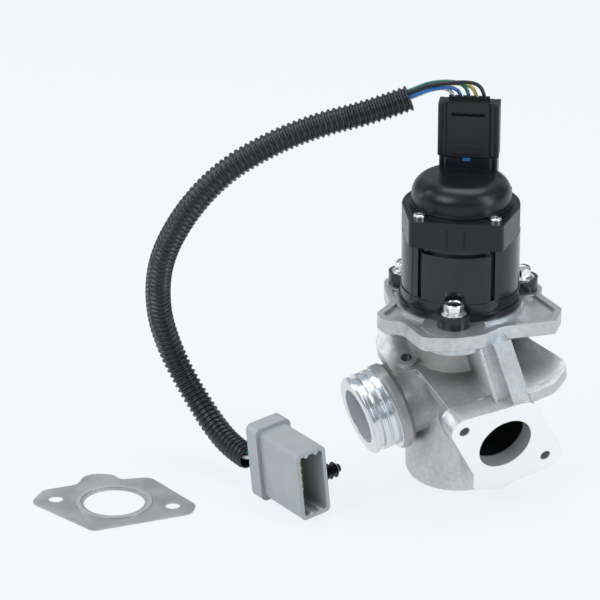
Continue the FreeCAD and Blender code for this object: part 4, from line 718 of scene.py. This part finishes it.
def island_of_faces(data):
    """Number of the loose part that each face belongs to, the part with the lowest top
    first."""
    mesh = bmesh.new()
    mesh.from_mesh(data)
    part = {}
    heights = []
    for seed in mesh.verts:
        if seed.index in part:
            continue
        number = len(heights)
        stack = [seed]
        part[seed.index] = number
        top = seed.co.z
        while stack:
            vert = stack.pop()
            top = max(top, vert.co.z)
            for edge in vert.link_edges:
                other = edge.other_vert(vert)
                if other.index not in part:
                    part[other.index] = number
                    stack.append(other)
        heights.append(top)
    order = sorted(range(len(heights)), key=lambda number: heights[number])
    rank = {number: place for place, number in enumerate(order)}
    numbers = [rank[part[face.verts[0].index]] for face in mesh.faces]
    mesh.free()
    return numbers


def dress_lower_wires():
    piece = welded("lower_wires", "lower_wire_ends")
    smooth(piece, WIRE_ENDS_SMOOTH_ANGLE)
    piece.data.materials.clear()
    for colour in LOWER_WIRE_FINISHES:
        piece.data.materials.append(finishes[colour + "_insulation"])
    numbers = island_of_faces(piece.data)
    for polygon, number in zip(piece.data.polygons, numbers):
        polygon.material_index = number % len(LOWER_WIRE_FINISHES)
    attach(piece, BODY)
    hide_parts("lower_wires")
    return piece


# Cords

def route_curve(name, points):
    """Open smooth curve with the route's points as its control points."""
    data = bpy.data.curves.new(name, "CURVE")
    data.dimensions = "3D"
    spline = data.splines.new("NURBS")
    spline.points.add(len(points) - 1)
    for point, place in zip(spline.points, points):
        point.co = (place[0] * MM, place[1] * MM, place[2] * MM, 1.0)
    spline.order_u = CURVE_ORDER
    spline.use_endpoint_u = True
    spline.resolution_u = CURVE_STEPS
    curve = bpy.data.objects.new(name, data)
    scene.collection.objects.link(curve)
    return curve


def route_line(name, points):
    """Points along a route's smooth curve."""
    curve = route_curve(name, points)
    mesh = bpy.data.meshes.new_from_object(curve)
    line = np.array([vert.co[:] for vert in mesh.vertices])
    bpy.data.objects.remove(curve)
    bpy.data.meshes.remove(mesh)
    return line


def even_line(line, count):
    """Evenly spaced points along a line, and its length."""
    gaps = np.linalg.norm(np.diff(line, axis=0), axis=1)
    run = np.concatenate(([0.0], np.cumsum(gaps)))
    wanted = np.linspace(0.0, run[-1], count)
    return np.column_stack([np.interp(wanted, run, line[:, k]) for k in range(3)]), run[-1]


def carried_frames(line):
    """Two cross directions along a line, carried without twist."""
    tangents = np.gradient(line, axis=0)
    tangents /= np.linalg.norm(tangents, axis=1)[:, None]
    side = np.cross(tangents[0], (0.0, 0.0, 1.0))
    side /= np.linalg.norm(side)
    sides = []
    for tangent in tangents:
        side = side - tangent * np.dot(side, tangent)
        side /= np.linalg.norm(side)
        sides.append(side.copy())
    sides = np.array(sides)
    return sides, np.cross(tangents, sides)


def tube_mesh(name, centres, sides, ups, radii, count):
    """Closed tube from rings, each with its own radius."""
    turns = np.arange(count) * 2.0 * math.pi / count
    points = []
    for centre, side, up, radius in zip(centres, sides, ups, radii):
        ring = np.outer(np.cos(turns), side) + np.outer(np.sin(turns), up)
        points.append(centre + ring * radius)
    rings = len(points)
    verts = np.concatenate(points).tolist()
    faces = []
    for ring in range(rings - 1):
        for k in range(count):
            after = (k + 1) % count
            low = ring * count
            high = low + count
            faces.append((low + k, low + after, high + after, high + k))
    first = len(verts)
    verts.append(list(centres[0]))
    verts.append(list(centres[-1]))
    last = (rings - 1) * count
    for k in range(count):
        after = (k + 1) % count
        faces.append((first, after, k))
        faces.append((first + 1, last + k, last + after))
    data = bpy.data.meshes.new(name)
    data.from_pydata(verts, [], faces)
    mesh = bmesh.new()
    mesh.from_mesh(data)
    bmesh.ops.recalc_face_normals(mesh, faces=mesh.faces)
    mesh.to_mesh(data)
    mesh.free()
    piece = bpy.data.objects.new(name, data)
    scene.collection.objects.link(piece)
    return piece


def corrugation(phase):
    """Rounded square wave between valley and crest."""
    wave = math.tanh(CONDUIT_SQUARENESS * math.sin(phase)) / math.tanh(CONDUIT_SQUARENESS)
    middle = (CONDUIT_R + CONDUIT_VALLEY_R) / 2.0
    return middle + wave * (CONDUIT_R - CONDUIT_VALLEY_R) / 2.0


def make_conduit():
    raw = route_line("conduit_route", CONDUIT_POINTS)
    length = even_line(raw, 2)[1]
    waves = round(length / CONDUIT_PITCH)
    steps = waves * CONDUIT_RINGS_PER_PITCH + 1
    line, length = even_line(raw, steps)
    sides, ups = carried_frames(line)
    radii = [corrugation(2.0 * math.pi * waves * k / (steps - 1)) for k in range(steps)]
    inset = round(CONDUIT_MOUTH_DEPTH / length * steps)
    order = [inset, 1, 0] + list(range(steps)) + [steps - 1, steps - 2, steps - 1 - inset]
    bore = CONDUIT_BORE_R
    lip = CONDUIT_BORE_R + CONDUIT_LIP
    widths = [bore, bore, lip] + radii + [lip, bore, bore]
    piece = tube_mesh("corrugated_conduit", line[order], sides[order], ups[order], widths,
                      CONDUIT_SIDES)
    smooth(piece, CONDUIT_SMOOTH_ANGLE)
    give(piece, finishes["conduit_plastic"])
    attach(piece, BODY)
    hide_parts("conduit")
    return piece, line


def bundle_offset(direction, index):
    """Place of a wire in the conduit's mouth, from the middle of the mouth."""
    side = direction.cross(UP).normalized()
    up = side.cross(direction).normalized()
    turn = math.radians(BUNDLE_ANGLES[index])
    return side * (BUNDLE_R * math.cos(turn)) + up * (BUNDLE_R * math.sin(turn) + BUNDLE_LIFT)


def wire_x(index):
    return WIRE_CENTRE_X + (index - 2) * WIRE_PITCH


def upper_wire_points(index):
    start = Vector(CONDUIT_POINTS[0])
    inward = (Vector(CONDUIT_POINTS[1]) - start).normalized()
    mouth = start + bundle_offset(inward, index)
    x = wire_x(index)
    depth = CONDUIT_MOUTH_DEPTH / MM
    return [(x, WIRE_Y, WIRE_FOOT_Z), (x, WIRE_Y, WIRE_RISES[index]), *WIRE_ARCHES[index],
            tuple(mouth - inward * WIRE_GATE), tuple(mouth + inward * depth)]


def make_wire(index):
    name = WIRE_NAMES[index]
    piece = route_curve(name + "_wire", upper_wire_points(index))
    piece.data.bevel_depth = WIRE_R
    piece.data.bevel_resolution = WIRE_ROUND_STEPS
    piece.data.use_fill_caps = True
    give(piece, finishes[name + "_insulation"])
    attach(piece, BODY)
    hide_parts("wire_" + name)


make_camera()
make_floor()
make_world()
for lamp in LAMPS:
    make_lamp(*lamp)
finishes = make_finishes()

for node, finish in INNER_FINISHES.items():
    give(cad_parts[node], finishes[finish])
skins = {node: dress(node, finish) for node, finish in OUTER_FINISHES.items()}
add_gusset_rib()
lower_wires = dress_lower_wires()
for index in range(len(WIRE_NAMES)):
    make_wire(index)
conduit, conduit_line = make_conduit()
connector = [piece for node, piece in skins.items()
             if node.startswith("connector_") or node == "fir_tree_clip"]
connector + [lower_wires]

scene.view_settings.view_transform = "Standard"
